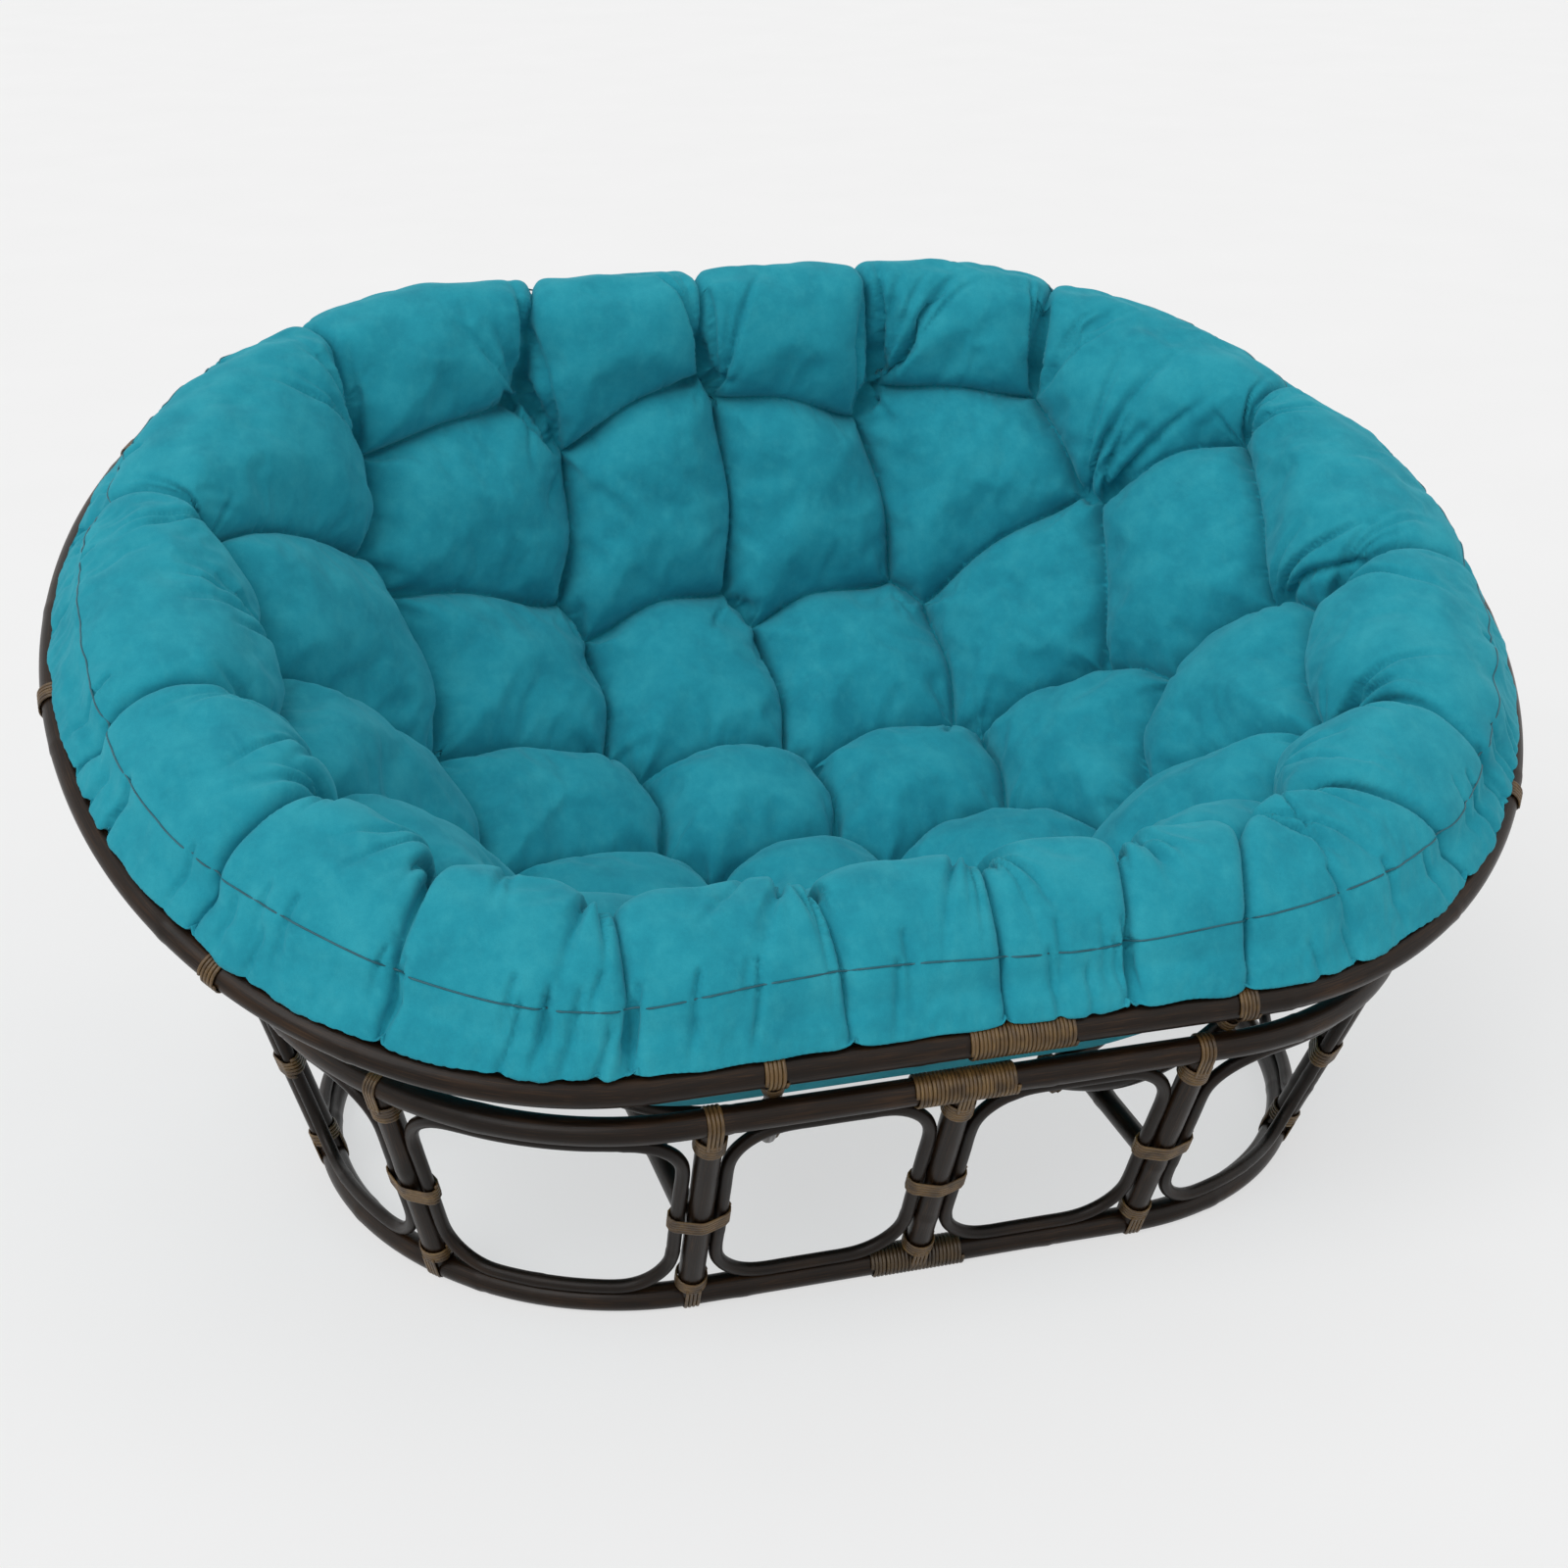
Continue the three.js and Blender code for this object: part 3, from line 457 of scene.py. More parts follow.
class Tree:
    """A node tree, with short ways to add nodes to it and to link them."""

    def __init__(self, tree):
        self.nodes = tree.nodes
        self.links = tree.links

    def set(self, node, inputs):
        """Gives a node's inputs plain values, or links them to the outputs of other nodes."""
        for name, value in inputs.items():
            if isinstance(value, (int, float, tuple)):
                node.inputs[name].default_value = value
            else:
                self.links.new(value, node.inputs[name])

    def add(self, kind, inputs):
        node = self.nodes.new("ShaderNode" + kind)
        self.set(node, inputs)
        return node

    def place(self, scale, source="UV"):
        where = self.add("TexCoord", {}).outputs[source]
        return self.add("Mapping", {"Vector": where, "Scale": scale}).outputs["Vector"]

    def noise(self, place, scale, detail, rough):
        inputs = {"Vector": place, "Scale": scale, "Detail": detail, "Roughness": rough}
        return self.add("TexNoise", inputs).outputs["Fac"]

    def ramp(self, value, *stops):
        node = self.add("ValToRGB", {"Fac": value})
        elements = node.color_ramp.elements
        while len(elements) < len(stops):
            elements.new(0.5)
        for element, (place, colour) in zip(elements, stops):
            element.position = place
            element.color = colour
        return node.outputs["Color"]

    def spread(self, value, low, high, start=0.3, end=0.7):
        inputs = {"Value": value, "From Min": start, "From Max": end, "To Min": low, "To Max": high}
        return self.add("MapRange", inputs).outputs["Result"]

    def combined(self, operation, a, b):
        node = self.add("Math", {0: a, 1: b})
        node.operation = operation
        return node.outputs[0]

    def mix(self, share, a, b):
        node = self.add("Mix", {})
        node.data_type = "RGBA"
        self.set(node, {0: share, 6: a, 7: b})
        return node.outputs[2]

    def bump(self, shader, *heights):
        normal = None
        for height, strength, distance in heights:
            node = self.add("Bump", {"Height": height, "Strength": strength, "Distance": distance})
            if normal is not None:
                self.links.new(normal, node.inputs["Normal"])
            normal = node.outputs["Normal"]
        self.links.new(normal, shader.inputs["Normal"])

    def seen(self):
        """1 for what the camera sees straight, in gloss or through glass, else 0."""
        path = self.add("LightPath", {})
        value = path.outputs["Is Camera Ray"]
        for name in ("Is Glossy Ray", "Is Transmission Ray"):
            value = self.combined("MAXIMUM", value, path.outputs[name])
        return value

    def mix_seen(self, output, share, plain, shown):
        """Shows the camera a share of one shader, and gives everything else the plain one."""
        mixed = self.add("MixShader", {0: share, 1: plain.outputs[0], 2: shown.outputs[0]})
        self.links.new(mixed.outputs[0], self.nodes[output].inputs["Surface"])


def new_material(name):
    material = bpy.data.materials.new(name)
    material.use_nodes = True
    tree = Tree(material.node_tree)
    return material, tree, tree.nodes["Principled BSDF"]


def linear(value):
    """The linear colour of a screen colour written as hex."""
    parts = [(value >> shift & 255) / 255 for shift in (16, 8, 0)]
    return tuple(p / 12.92 if p <= 0.04045 else ((p + 0.055) / 1.055) ** 2.4 for p in parts) + (1.0,)


def pole_material(name, dark, mid, light, roughness):
    """Stained pole: long fibres, darker blotches, worn lighter streaks and a thin lacquer."""
    material, tree, shader = new_material(name)
    dark, mid, light = linear(dark), linear(mid), linear(light)
    fibres = tree.noise(tree.place((900, 22, 1)), 1.0, 5.0, 0.6)
    streaks = tree.noise(tree.place((120, 7, 1)), 1.0, 3.0, 0.5)
    blotches = tree.noise(tree.place((9, 9, 9), "Object"), 1.0, 3.0, 0.5)
    colour = tree.ramp(fibres, (0.32, dark), (0.55, mid), (0.78, light))
    colour = tree.mix(tree.spread(streaks, 0.0, 0.55, 0.56, 0.72), colour, light)
    colour = tree.mix(tree.spread(blotches, 0.0, 0.5, 0.45, 0.62), colour, dark)
    tree.set(shader, {
        "Base Color": colour,
        "Roughness": tree.spread(streaks, roughness - 0.07, roughness + 0.12),
        "Specular IOR Level": 0.18,
        "Coat Weight": 0.05,
        "Coat Roughness": 0.15,
    })
    tree.bump(shader, (fibres, 0.35, 0.0006), (blotches, 0.25, 0.0012))
    return material


def binding_material(name, dark, mid, light):
    """Split cane strands: golden brown skin with stained patches."""
    material, tree, shader = new_material(name)
    dark, mid, light = linear(dark), linear(mid), linear(light)
    fibres = tree.noise(tree.place((700, 40, 1)), 1.0, 4.0, 0.6)
    patches = tree.noise(tree.place((60, 60, 60), "Object"), 1.0, 2.0, 0.5)
    colour = tree.ramp(fibres, (0.3, dark), (0.52, mid), (0.75, light))
    colour = tree.mix(tree.spread(patches, 0.0, 0.75, 0.42, 0.66), colour, dark)
    tree.set(shader, {"Base Color": colour, "Roughness": tree.spread(fibres, 0.32, 0.5)})
    tree.bump(shader, (fibres, 0.4, 0.0004))
    return material


def suede_material(name):
    """Brushed suede: soft patches where the nap lies another way, fine fibres and a faint sheen."""
    material, tree, shader = new_material(name)
    place = tree.place((1, 1, 1), "Object")
    brushed = tree.noise(place, 15.0, 6.0, 0.68)
    marks = tree.noise(tree.place((70, 26, 60), "Object"), 1.0, 4.0, 0.65)
    fibres = tree.noise(place, 900.0, 3.0, 0.7)
    colour = tree.ramp(brushed, (0.3, linear(0x1f8b9f)), (0.5, linear(0x2699ac)), (0.72, linear(0x34a6b7)))
    colour = tree.mix(tree.spread(marks, 0.0, 0.35, 0.5, 0.75), colour, linear(0x3fabb9))
    colour = tree.mix(tree.spread(fibres, 0.0, 0.22, 0.45, 0.75), colour, linear(0x177585))
    tree.set(shader, {
        "Base Color": colour,
        "Roughness": 0.95,
        "Specular IOR Level": 0.2,
        "Sheen Weight": 0.35,
        "Sheen Roughness": 0.45,
        "Sheen Tint": linear(0x7fd0da),
    })
    tree.bump(shader, (fibres, 0.35, 0.0005), (marks, 0.15, 0.0015))
    return material


RATTAN = pole_material("rattan_dark", 0x100904, 0x20140a, 0x46301c, 0.33)
CANE = pole_material("cane_dark", 0x0c0704, 0x1a110a, 0x362618, 0.38)
BINDING = binding_material("binding_golden", 0x2c1d0c, 0x654a25, 0xa68c56)
BINDING_DARK = binding_material("binding_dark", 0x1f150b, 0x4a3820, 0x7c6740)
SUEDE = suede_material("suede_teal")
# The edge seam's cord is a darker teal than the suede: painted shade where the seam's groove lies.
SEAM_SHADE = binding_material("seam_shade_teal", 0x0c4a57, 0x12606e, 0x187080)
POLE_LOOKS = {"rattan": (RATTAN, POLE_SWELL), "cane": (CANE, CANE_SWELL)}


# Base

def add_piece(name, body, parts, material, nodes=()):
    verts, faces, uvs = join_parts(parts)
    piece = make_object(name, verts, faces, uvs, material)
    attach(piece, body)
    if nodes:
        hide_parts(*nodes)
    return piece


def add_pole(node, body, points, radius, sides, closed=False, slot="rattan"):
    """One pole round its middle line, in place of the node of its name."""
    points = IN_WORLD[body](points)
    material, swell = POLE_LOOKS[slot]
    radii = pole_radii(points, radius, sum(map(ord, node)), swell)
    if closed:
        from_join = np.minimum(np.arange(len(points)), np.arange(len(points))[::-1]) / JOIN_STEPS
        radii = radius + (radii - radius) * np.clip(from_join, 0, 1)
    parts = [tube_parts(points, radii, closed, sides)]
    return add_piece(node + "_pole", body, parts, material, [node])


def ring_points(ring):
    count = int(oval_length(ring) / POLE_STEP)
    return oval_point(np.arange(count) / count, **ring)


def quarter_places(shares, mirror_x, mirror_y):
    """Turns of a ring for shares of one of its quarters, from the middle to the end."""
    out = []
    for share in shares:
        quarter = 0.5 - share / 4 if mirror_y > 0 else share / 4
        out.append((quarter if mirror_x > 0 else 1 - quarter) % 1)
    return out


def post_places():
    """Every post's name and its turns on the top ring and the foot ring, in order."""
    places = []
    for side, mirror_y in (("front", -1), ("back", 1)):
        for hand, mirror_x in (("left", -1), ("right", 1)):
            tops = quarter_places(POST_TOP_SHARES, mirror_x, mirror_y)
            feet = quarter_places(POST_FOOT_SHARES, mirror_x, mirror_y)
            for i, label in enumerate(POST_NAMES):
                middle, end = i == 0, i == len(POST_NAMES) - 1
                if (middle and mirror_x < 0) or (end and mirror_y > 0):
                    continue
                words = [None if end else side, None if middle else hand, label]
                places.append(dict(name="_".join(w for w in words if w), top=tops[i], foot=feet[i]))
    return sorted(places, key=lambda place: place["top"])


def post_ends(place):
    return oval_point(place["top"], **TOP_RING), oval_point(place["foot"], **FOOT_RING)


def flatten_ground(piece):
    """Presses whatever is under the floor up to it."""
    for vert in piece.data.vertices:
        if vert.co.z < 0:
            vert.co.z = 0


def add_base_rings():
    add_pole("base_top_ring", "base", ring_points(TOP_RING), BASE_RADIUS, RING_SIDES, True)
    foot = add_pole("base_bottom_ring", "base", ring_points(FOOT_RING), BASE_RADIUS, RING_SIDES, True)
    flatten_ground(foot)


def add_posts():
    for post in POSTS:
        head, foot = post_ends(post)
        line = even_line(np.array([foot, head]), POLE_STEP, False)
        add_pole("post_" + post["name"], "base", line, POST_RADIUS, POST_SIDES)


def add_braces():
    for hand in ("left", "right"):
        ends = []
        for side in ("front", "back"):
            head, foot = post_ends(next(post for post in POSTS if post["name"] == f"{side}_{hand}_inner"))
            ends.append(foot + (head - foot) * BRACE_HEIGHT_SHARE)
        room = unit(ends[1] - ends[0]) * BRACE_END_ROOM
        line = even_line(np.array([ends[0] + room, ends[1] - room]), POLE_STEP, False)
        add_pole("brace_" + hand, "base", line, BRACE_RADIUS, BRACE_SIDES)


# Loops: the panel between two posts is a ruled surface, and its cane runs round it

def panel_turn(left, right, end, u):
    return left[end] + ((right[end] - left[end] + 1) % 1) * u


def panel_ruling(left, right, u):
    """The foot and the top of one straight line of the panel."""
    return (oval_point(panel_turn(left, right, "foot", u), **FOOT_RING),
            oval_point(panel_turn(left, right, "top", u), **TOP_RING))


def panel_point(left, right, u, v):
    low, high = panel_ruling(left, right, u)
    return low + (high - low) * v


def panel_place(left, right, a, b):
    """A place in the panel, as shares of the way between the canes' own outermost lines."""
    def rise(end, ring):
        low, high = panel_ruling(left, right, a)
        tangent = oval_tangent(panel_turn(left, right, end, a), **ring)
        return OFF_RING / np.linalg.norm(np.cross(high - low, tangent))

    def inset(v, edge):
        chord = panel_point(left, right, 1, v) - panel_point(left, right, 0, v)
        low, high = panel_ruling(left, right, edge)
        return OFF_POST / np.linalg.norm(np.cross(chord, unit(high - low)))

    low, high = rise("foot", FOOT_RING), 1 - rise("top", TOP_RING)
    v = low + (high - low) * b
    start, end = inset(v, 0), 1 - inset(v, 1)
    return panel_point(left, right, start + (end - start) * a, v)


def panel_span(left, right, first, last):
    return np.linalg.norm(panel_point(left, right, *last) - panel_point(left, right, *first))


def loop_points(left, right):
    """Places round the cane of one panel: four round corners and the runs between them."""
    wide = LOOP_CORNER / (panel_span(left, right, (0, 0.5), (1, 0.5)) - 2 * OFF_POST)
    tall = LOOP_CORNER / (panel_span(left, right, (0.5, 0), (0.5, 1)) - 2 * OFF_RING)
    points = []
    corners = ((1, 0, -1, 1), (1, 1, -1, -1), (0, 1, 1, -1), (0, 0, 1, 1))
    for index, (a, b, in_a, in_b) in enumerate(corners):
        for i in range(LOOP_CORNER_STEPS + 1):
            angle = math.pi / 2 * (index - 1 + i / LOOP_CORNER_STEPS)
            points.append((a + wide * (in_a + math.cos(angle)), b + tall * (in_b + math.sin(angle))))
        if index % 2:
            for i in range(1, LOOP_ACROSS_STEPS):
                points.append((a + in_a * (wide + (1 - 2 * wide) * i / LOOP_ACROSS_STEPS), b))
        else:
            for i in range(1, LOOP_UP_STEPS):
                points.append((a, b + in_b * (tall + (1 - 2 * tall) * i / LOOP_UP_STEPS)))
    return np.array([panel_place(left, right, *point) for point in points])


def add_loops():
    for i, left in enumerate(POSTS):
        right = POSTS[(i + 1) % len(POSTS)]
        line = smooth_line(loop_points(left, right), True, POLE_STEP)
        name = f"loop_{left['name']}_to_{right['name']}"
        add_pole(name, "base", line, LOOP_RADIUS, THIN_SIDES, True, "cane")


# Windings: strands of split cane, wound close round a bundle of poles

def hull_outline(poles, room, steps):
    """Points round a bundle of poles, seen along it, with the strand's room outside it."""
    angles = np.arange(360) * math.pi / 180
    ways = np.stack([np.cos(angles), np.sin(angles)], -1)
    far = np.max([ways @ np.array(p[:2]) + p[2] for p in poles], axis=0) + room
    slope = (np.roll(far, -1) - np.roll(far, 1)) / (2 * math.pi / 180)
    normal = np.stack([-ways[:, 1], ways[:, 0]], -1)
    line = ways * far[:, None] + normal * slope[:, None]
    closed = np.r_[line, line[:1]]
    reach = reach_along(closed)
    at = np.arange(steps) / steps * reach[-1]
    return np.stack([np.interp(at, reach, closed[:, k]) for k in range(2)], -1)


def wound_strand(poles, turns, frame_of, seed, steps=22, strand=STRAND):
    """One strand wound round poles, each given by its place in their section and its radius.
    For a height along them, frame_of gives the origin, x and z of the section there."""
    outline = hull_outline(poles, STRAND_THICK * STRAND_OUT_SHARE, steps)
    centre = np.mean([pole[:2] for pole in poles], axis=0)
    lean = np.random.default_rng(seed).normal(0, strand * STRAND_LEAN, int(turns) + 3)
    points, outs = [], []
    for i in range(int(turns * steps) + 1):
        turn = i / steps
        height = (turn - turns / 2) * strand + np.interp(turn, np.arange(len(lean)), lean)
        origin, x, z = frame_of(height)
        px, pz = outline[i % steps]
        points.append(origin + x * px + z * pz)
        outs.append(x * (px - centre[0]) + z * (pz - centre[1]))
    size = (strand / 2, STRAND_THICK / 2)
    return tube_parts(np.array(points), size, False, STRAND_SIDES, flat=np.array(outs))


def straight_frame(origin, along, across):
    y = unit(along)
    z = unit(np.cross(across, y))
    x = np.cross(y, z)
    return lambda height: (origin + y * height, x, z)


def ring_frame(ring, share):
    """Frames along a ring, so that a winding on it bends with it."""
    length = oval_length(ring)

    def at(height):
        here = share + height / length
        y = oval_tangent(here, **ring)
        x = unit(np.cross(y, np.array([0.0, 0, 1])))
        return oval_point(here, **ring), x, np.cross(x, y)
    return at


def add_binding(name, body, parts, material=BINDING, nodes=()):
    """One piece of wound strands, carried from its body's own frame to the world's."""
    parts = [(IN_WORLD[body](verts), faces, uvs) for verts, faces, uvs in parts]
    return add_piece(name, body, parts, material, nodes)


def add_post_ties():
    """A wide winding round each post and the canes on both sides of it."""
    for i, post in enumerate(POSTS):
        head, foot = post_ends(post)
        origin = foot + (head - foot) * TIE_HEIGHT_SHARE
        at = straight_frame(origin, head - foot, oval_tangent(post["top"], **TOP_RING))
        _, x, z = at(0)
        poles = [(0, 0, POST_RADIUS)]
        for left, right, side in ((POSTS[i - 1], post, 1), (post, POSTS[(i + 1) % len(POSTS)], 0)):
            offset = panel_place(left, right, side, TIE_HEIGHT_SHARE) - origin
            poles.append((offset @ x, offset @ z, LOOP_RADIUS))
        tie = "tie_" + post["name"]
        add_binding(tie + "_strands", "base", [wound_strand(poles, 5, at, i, 28)], nodes=[tie])


def strap_over(origin, out, down, along):
    """Strands side by side over a ring and down both sides of the post under it."""
    room = STRAND_THICK * STRAP_OUT_SHARE
    outer = BASE_RADIUS + room
    side = max(outer, POST_RADIUS + room)
    parts = []
    for k in range(STRAP_STRANDS):
        centre = origin + along * (k - (STRAP_STRANDS - 1) / 2) * STRAND
        line = [centre + out * side + down * STRAP_DEPTH]
        for angle in np.linspace(0, math.pi, STRAP_POINTS):
            line.append(centre + out * outer * math.cos(angle) - down * outer * math.sin(angle))
        line.append(centre - out * side + down * STRAP_DEPTH)
        line = even_line(np.array(line), STRAP_STEP, False)
        outs = line - centre
        outs = outs - down * np.maximum(outs @ down, 0)[:, None]
        size = (STRAP_HALF_WIDTH, STRAND_THICK / 2)
        parts.append(tube_parts(line, size, False, STRAND_SIDES, flat=outs))
    return parts


def add_post_ends():
    """Windings at the head and foot of each post, and the strands that hold it to the rings."""
    for i, post in enumerate(POSTS):
        head, foot = post_ends(post)
        run = unit(head - foot)
        parts = []
        for origin, down, ring, share, turns in (
                (head, -run, TOP_RING, post["top"], 5), (foot, run, FOOT_RING, post["foot"], 4)):
            along = oval_tangent(share, **ring)
            at = straight_frame(origin + down * (BASE_RADIUS + WINDING_GAP), down, along)
            parts.append(wound_strand([(0, 0, POST_RADIUS)], turns, at, END_SEED + i, 20))
            parts += strap_over(origin, unit(np.cross(along, down)), down, along)
        flatten_ground(add_binding("ends_" + post["name"], "base", parts))


def add_splices():
    """Close windings over the scarfed ends of both rings and the rim."""
    def splice(name, body, ring, radius, turns, start, seed, *looks):
        strand = wound_strand([(0, 0, radius)], turns, ring_frame(ring, start), seed)
        return add_binding(name + "_strands", body, [strand], *looks)

    rim_start = RIM_SPLICE_PLACE / oval_length(RIM)
    splice("splice_top", "base", TOP_RING, BASE_RADIUS, 25, 0, 1, BINDING, ["splice_top_ring"])
    flatten_ground(splice("splice_bottom", "base", FOOT_RING, BASE_RADIUS, 24, 0, 2, BINDING_DARK))
    splice("splice_rim", "bowl", RIM, RIM_RADIUS, 26, rim_start, 3, BINDING, ["splice_rim"])


# Bowl

def rib_level(index, inset=0.0):
    angle = math.radians(RIB_ANGLES[index])
    return dict(
        half_length=RIM["half_length"] * RIB_LENGTH_SHARES[index] - inset,
        half_depth=(RIB_ARC - inset) * math.sin(angle),
        straight=RIM["straight"] * RIB_STRAIGHT_SHARES[index],
        height=-(RIB_ARC - inset) * math.cos(angle),
        lift=RIB_LIFTS[index],
    )


def rib_places():
    places = [("right_end", 0.25), ("left_end", 0.75)]
    for side, mirror_y in (("front", -1), ("back", 1)):
        for hand, mirror_x, shares in (("left", -1, RIB_LEFT_SHARES), ("right", 1, RIB_RIGHT_SHARES)):
            inner, corner = quarter_places(shares, mirror_x, mirror_y)
            places.append((f"{side}_{hand}_inner", inner))
            places.append((f"{side}_{hand}_corner", corner))
    return sorted(places, key=lambda place: place[1])


def rib_points(share):
    levels = [RIM] + [rib_level(i) for i in range(len(RIB_ANGLES))] + [BOTTOM]
    return np.array([oval_point(share, **level) for level in levels])


def add_bowl():
    middle_ring = rib_level(MIDDLE_LEVEL, MIDDLE_INSET)
    add_pole("bowl_rim", "bowl", ring_points(RIM), RIM_RADIUS, RIM_SIDES, True)
    add_pole("bowl_middle_ring", "bowl", ring_points(middle_ring), BOWL_RING_RADIUS, THIN_SIDES, True)
    add_pole("bowl_bottom_ring", "bowl", ring_points(BOTTOM), BOWL_RING_RADIUS, THIN_SIDES, True)
    for name, share in RIBS:
        line = smooth_line(rib_points(share), False, POLE_STEP)
        add_pole("rib_" + name, "bowl", line, RIB_RADIUS, THIN_SIDES)


def add_rim_ties():
    """Strands round the rim and the head of each rib, and a cross of them where each rib meets
    the middle ring."""
    ring = rib_level(MIDDLE_LEVEL, MIDDLE_INSET)
    for k, (name, share) in enumerate(RIBS):
        parts = [wound_strand([(0, 0, RIM_RADIUS)], 5, ring_frame(RIM, share), RIM_TIE_SEED + k)]
        line = smooth_line(rib_points(share), False, STRAP_STEP)
        before, head, after = line[RIB_HEAD_STEPS - 1:RIB_HEAD_STEPS + 2]
        at = straight_frame(head, after - before, oval_tangent(share, **RIM))
        parts.append(wound_strand([(0, 0, RIB_RADIUS)], 3, at, RIB_TIE_SEED + k, 16))
        here = oval_point(share, **ring)
        outside = oval_point(share, **rib_level(MIDDLE_LEVEL))
        middle, out = (here + outside) / 2, unit(outside - here)
        tangent = oval_tangent(share, **ring)
        for side in (-1, 1):
            way = tangent * side + np.cross(tangent, out)
            at = straight_frame(middle, np.cross(way, out), out)
            _, x, z = at(0)
            bundle = []
            for offset, radius in ((here - middle, BOWL_RING_RADIUS), (outside - middle, RIB_RADIUS)):
                bundle.append((offset @ x, offset @ z, radius * CROSS_ROOM))
            parts.append(wound_strand(bundle, 3, at, CROSS_SEED + k, strand=CROSS_STRAND))
        add_binding("rim_tie_" + name, "bowl", parts)


# Cushion: sewn cells on a deep dish, whose top is also laid out flat

def reach_of(flat):
    """How far out a place in plan lies, as a share of the way to the cushion's edge."""
    length, depth, straight = CUSHION["half_length"], CUSHION["half_depth"], CUSHION["straight"]
    bend = length - straight
    beside, along = np.abs(flat[..., 1]) / depth, np.abs(flat[..., 0])
    a = bend ** 2 - straight ** 2
    b = along * straight
    curved = (np.sqrt(b ** 2 + a * (along ** 2 + (bend * beside) ** 2)) - b) / a
    return np.where(along <= straight * beside, beside, curved)


def edge_plan(turns):
    """Places on the edge of the top, in plan."""
    return oval_point(turns, height=0.0, **CUSHION)[:, :2]


def flattened(plan):
    """Places in plan, carried to the flattened dish, which spreads the steep parts out."""
    return plan * (1 + FLATTENING * reach_of(plan) ** 2)[..., None]


def unflattened(reach):
    """The reach in plan of places that lie so far out on the flattened dish."""
    plain = reach / (1 + FLATTENING)
    for _ in range(6):
        plain = plain - (plain + FLATTENING * plain ** 3 - reach) / (1 + 3 * FLATTENING * plain ** 2)
    return plain


def top_surface(plan, reach):
    """The plain top of the cushion: a dish up to the crest, then a round edge to the seam."""
    steep = (1 - np.cos(math.pi * np.minimum(reach / CREST_SHARE, 1) ** 2)) / 2
    out = np.clip((reach - CREST_SHARE) / (1 - CREST_SHARE), 0, 1)
    arch = np.sqrt(1 - out ** 2)
    z = np.where(reach <= CREST_SHARE, HOLLOW_LEVEL + (CREST_LEVEL - HOLLOW_LEVEL) * steep,
                 ROLL_LEVEL + (CREST_LEVEL - ROLL_LEVEL) * arch)
    return np.stack([plan[..., 0], plan[..., 1] + CREST_SHIFT * arch, z], -1)


def side_lines(turns):
    """Ovals from the edge of the top, down the side and along the ribs to the middle below."""
    lines = [top_surface(edge_plan(turns), np.ones(len(turns)))]
    for inset, level in SIDE_SHAPE:
        within_rim = {key: RIM[key] - inset for key in ("half_length", "half_depth", "straight")}
        lines.append(oval_point(turns, height=level, **within_rim))
    lines += [oval_point(turns, **rib_level(level, UNDERSIDE_INSET)) for level in (1, 2, 3, 4, 5)]
    lines.append(oval_point(turns, **UNDERSIDE))
    return np.array(lines)


def down_side(turns, below):
    """Points on the side and the underside, so far below the edge of the top."""
    lines = side_lines(turns)
    place = np.clip(np.searchsorted(SIDE_PLACES, below, side="right") - 1, 0, len(SIDE_SPANS) - 1)
    share = ((below - SIDE_PLACES[place]) / SIDE_SPANS[place])[:, None]
    rows = np.arange(len(turns))
    return lines[place, rows] * (1 - share) + lines[place + 1, rows] * share


def past_edge(flat):
    """How far places on the flattened dish lie past the edge of the top, and less than 0 within."""
    size = np.linalg.norm(flat, axis=-1)
    return size * (1 - (1 + FLATTENING) / np.maximum(reach_of(flat), 1e-9))


def turn_of(flat):
    """The turn of the edge that lies the same way from the middle."""
    order = np.argsort(EDGE_ANGLES)
    first = EDGE_ANGLES[order[0]]
    angles = np.mod(np.arctan2(flat[:, 1], flat[:, 0]) - first, 2 * math.pi) + first
    return np.interp(angles, EDGE_ANGLES[order], EDGE_TURNS[order])


def on_skin(flat):
    """The plain skin over places on the flattened dish, which goes on down the side."""
    gauge = np.maximum(reach_of(flat), 1e-9)
    reach = unflattened(np.minimum(gauge, 1 + FLATTENING))
    points = top_surface(flat * (reach / gauge)[:, None], reach)
    below = past_edge(flat)
    side = below > 0
    points[side] = down_side(turn_of(flat[side]), below[side])
    return points


def edge_ring(past):
    """Even places round the flattened dish, so far past the edge of the top."""
    edge = flattened(edge_plan(RING_TURNS))
    return edge * (1 + past / np.linalg.norm(edge, axis=1))[:, None]


def cell_centres():
    lobes = edge_plan(np.array(LOBE_TURNS)) * np.array(LOBE_REACHES)[:, None]
    inner = np.array(CELL_PLACES) * (CUSHION["half_length"], CUSHION["half_depth"])
    return flattened(np.concatenate([lobes, inner]))


def cut(outline, middle, way, neighbour):
    """Cuts an outline of corners, each with what its next side borders on, half way to a neighbour."""
    kept = []
    for (a, side), (b, _) in zip(outline, outline[1:] + outline[:1]):
        a_in, b_in = (a - middle) @ way <= 0, (b - middle) @ way <= 0
        if a_in:
            kept.append((a, side))
        if a_in != b_in:
            share = ((middle - a) @ way) / ((b - a) @ way)
            kept.append((a + (b - a) * share, neighbour if a_in else side))
    return kept


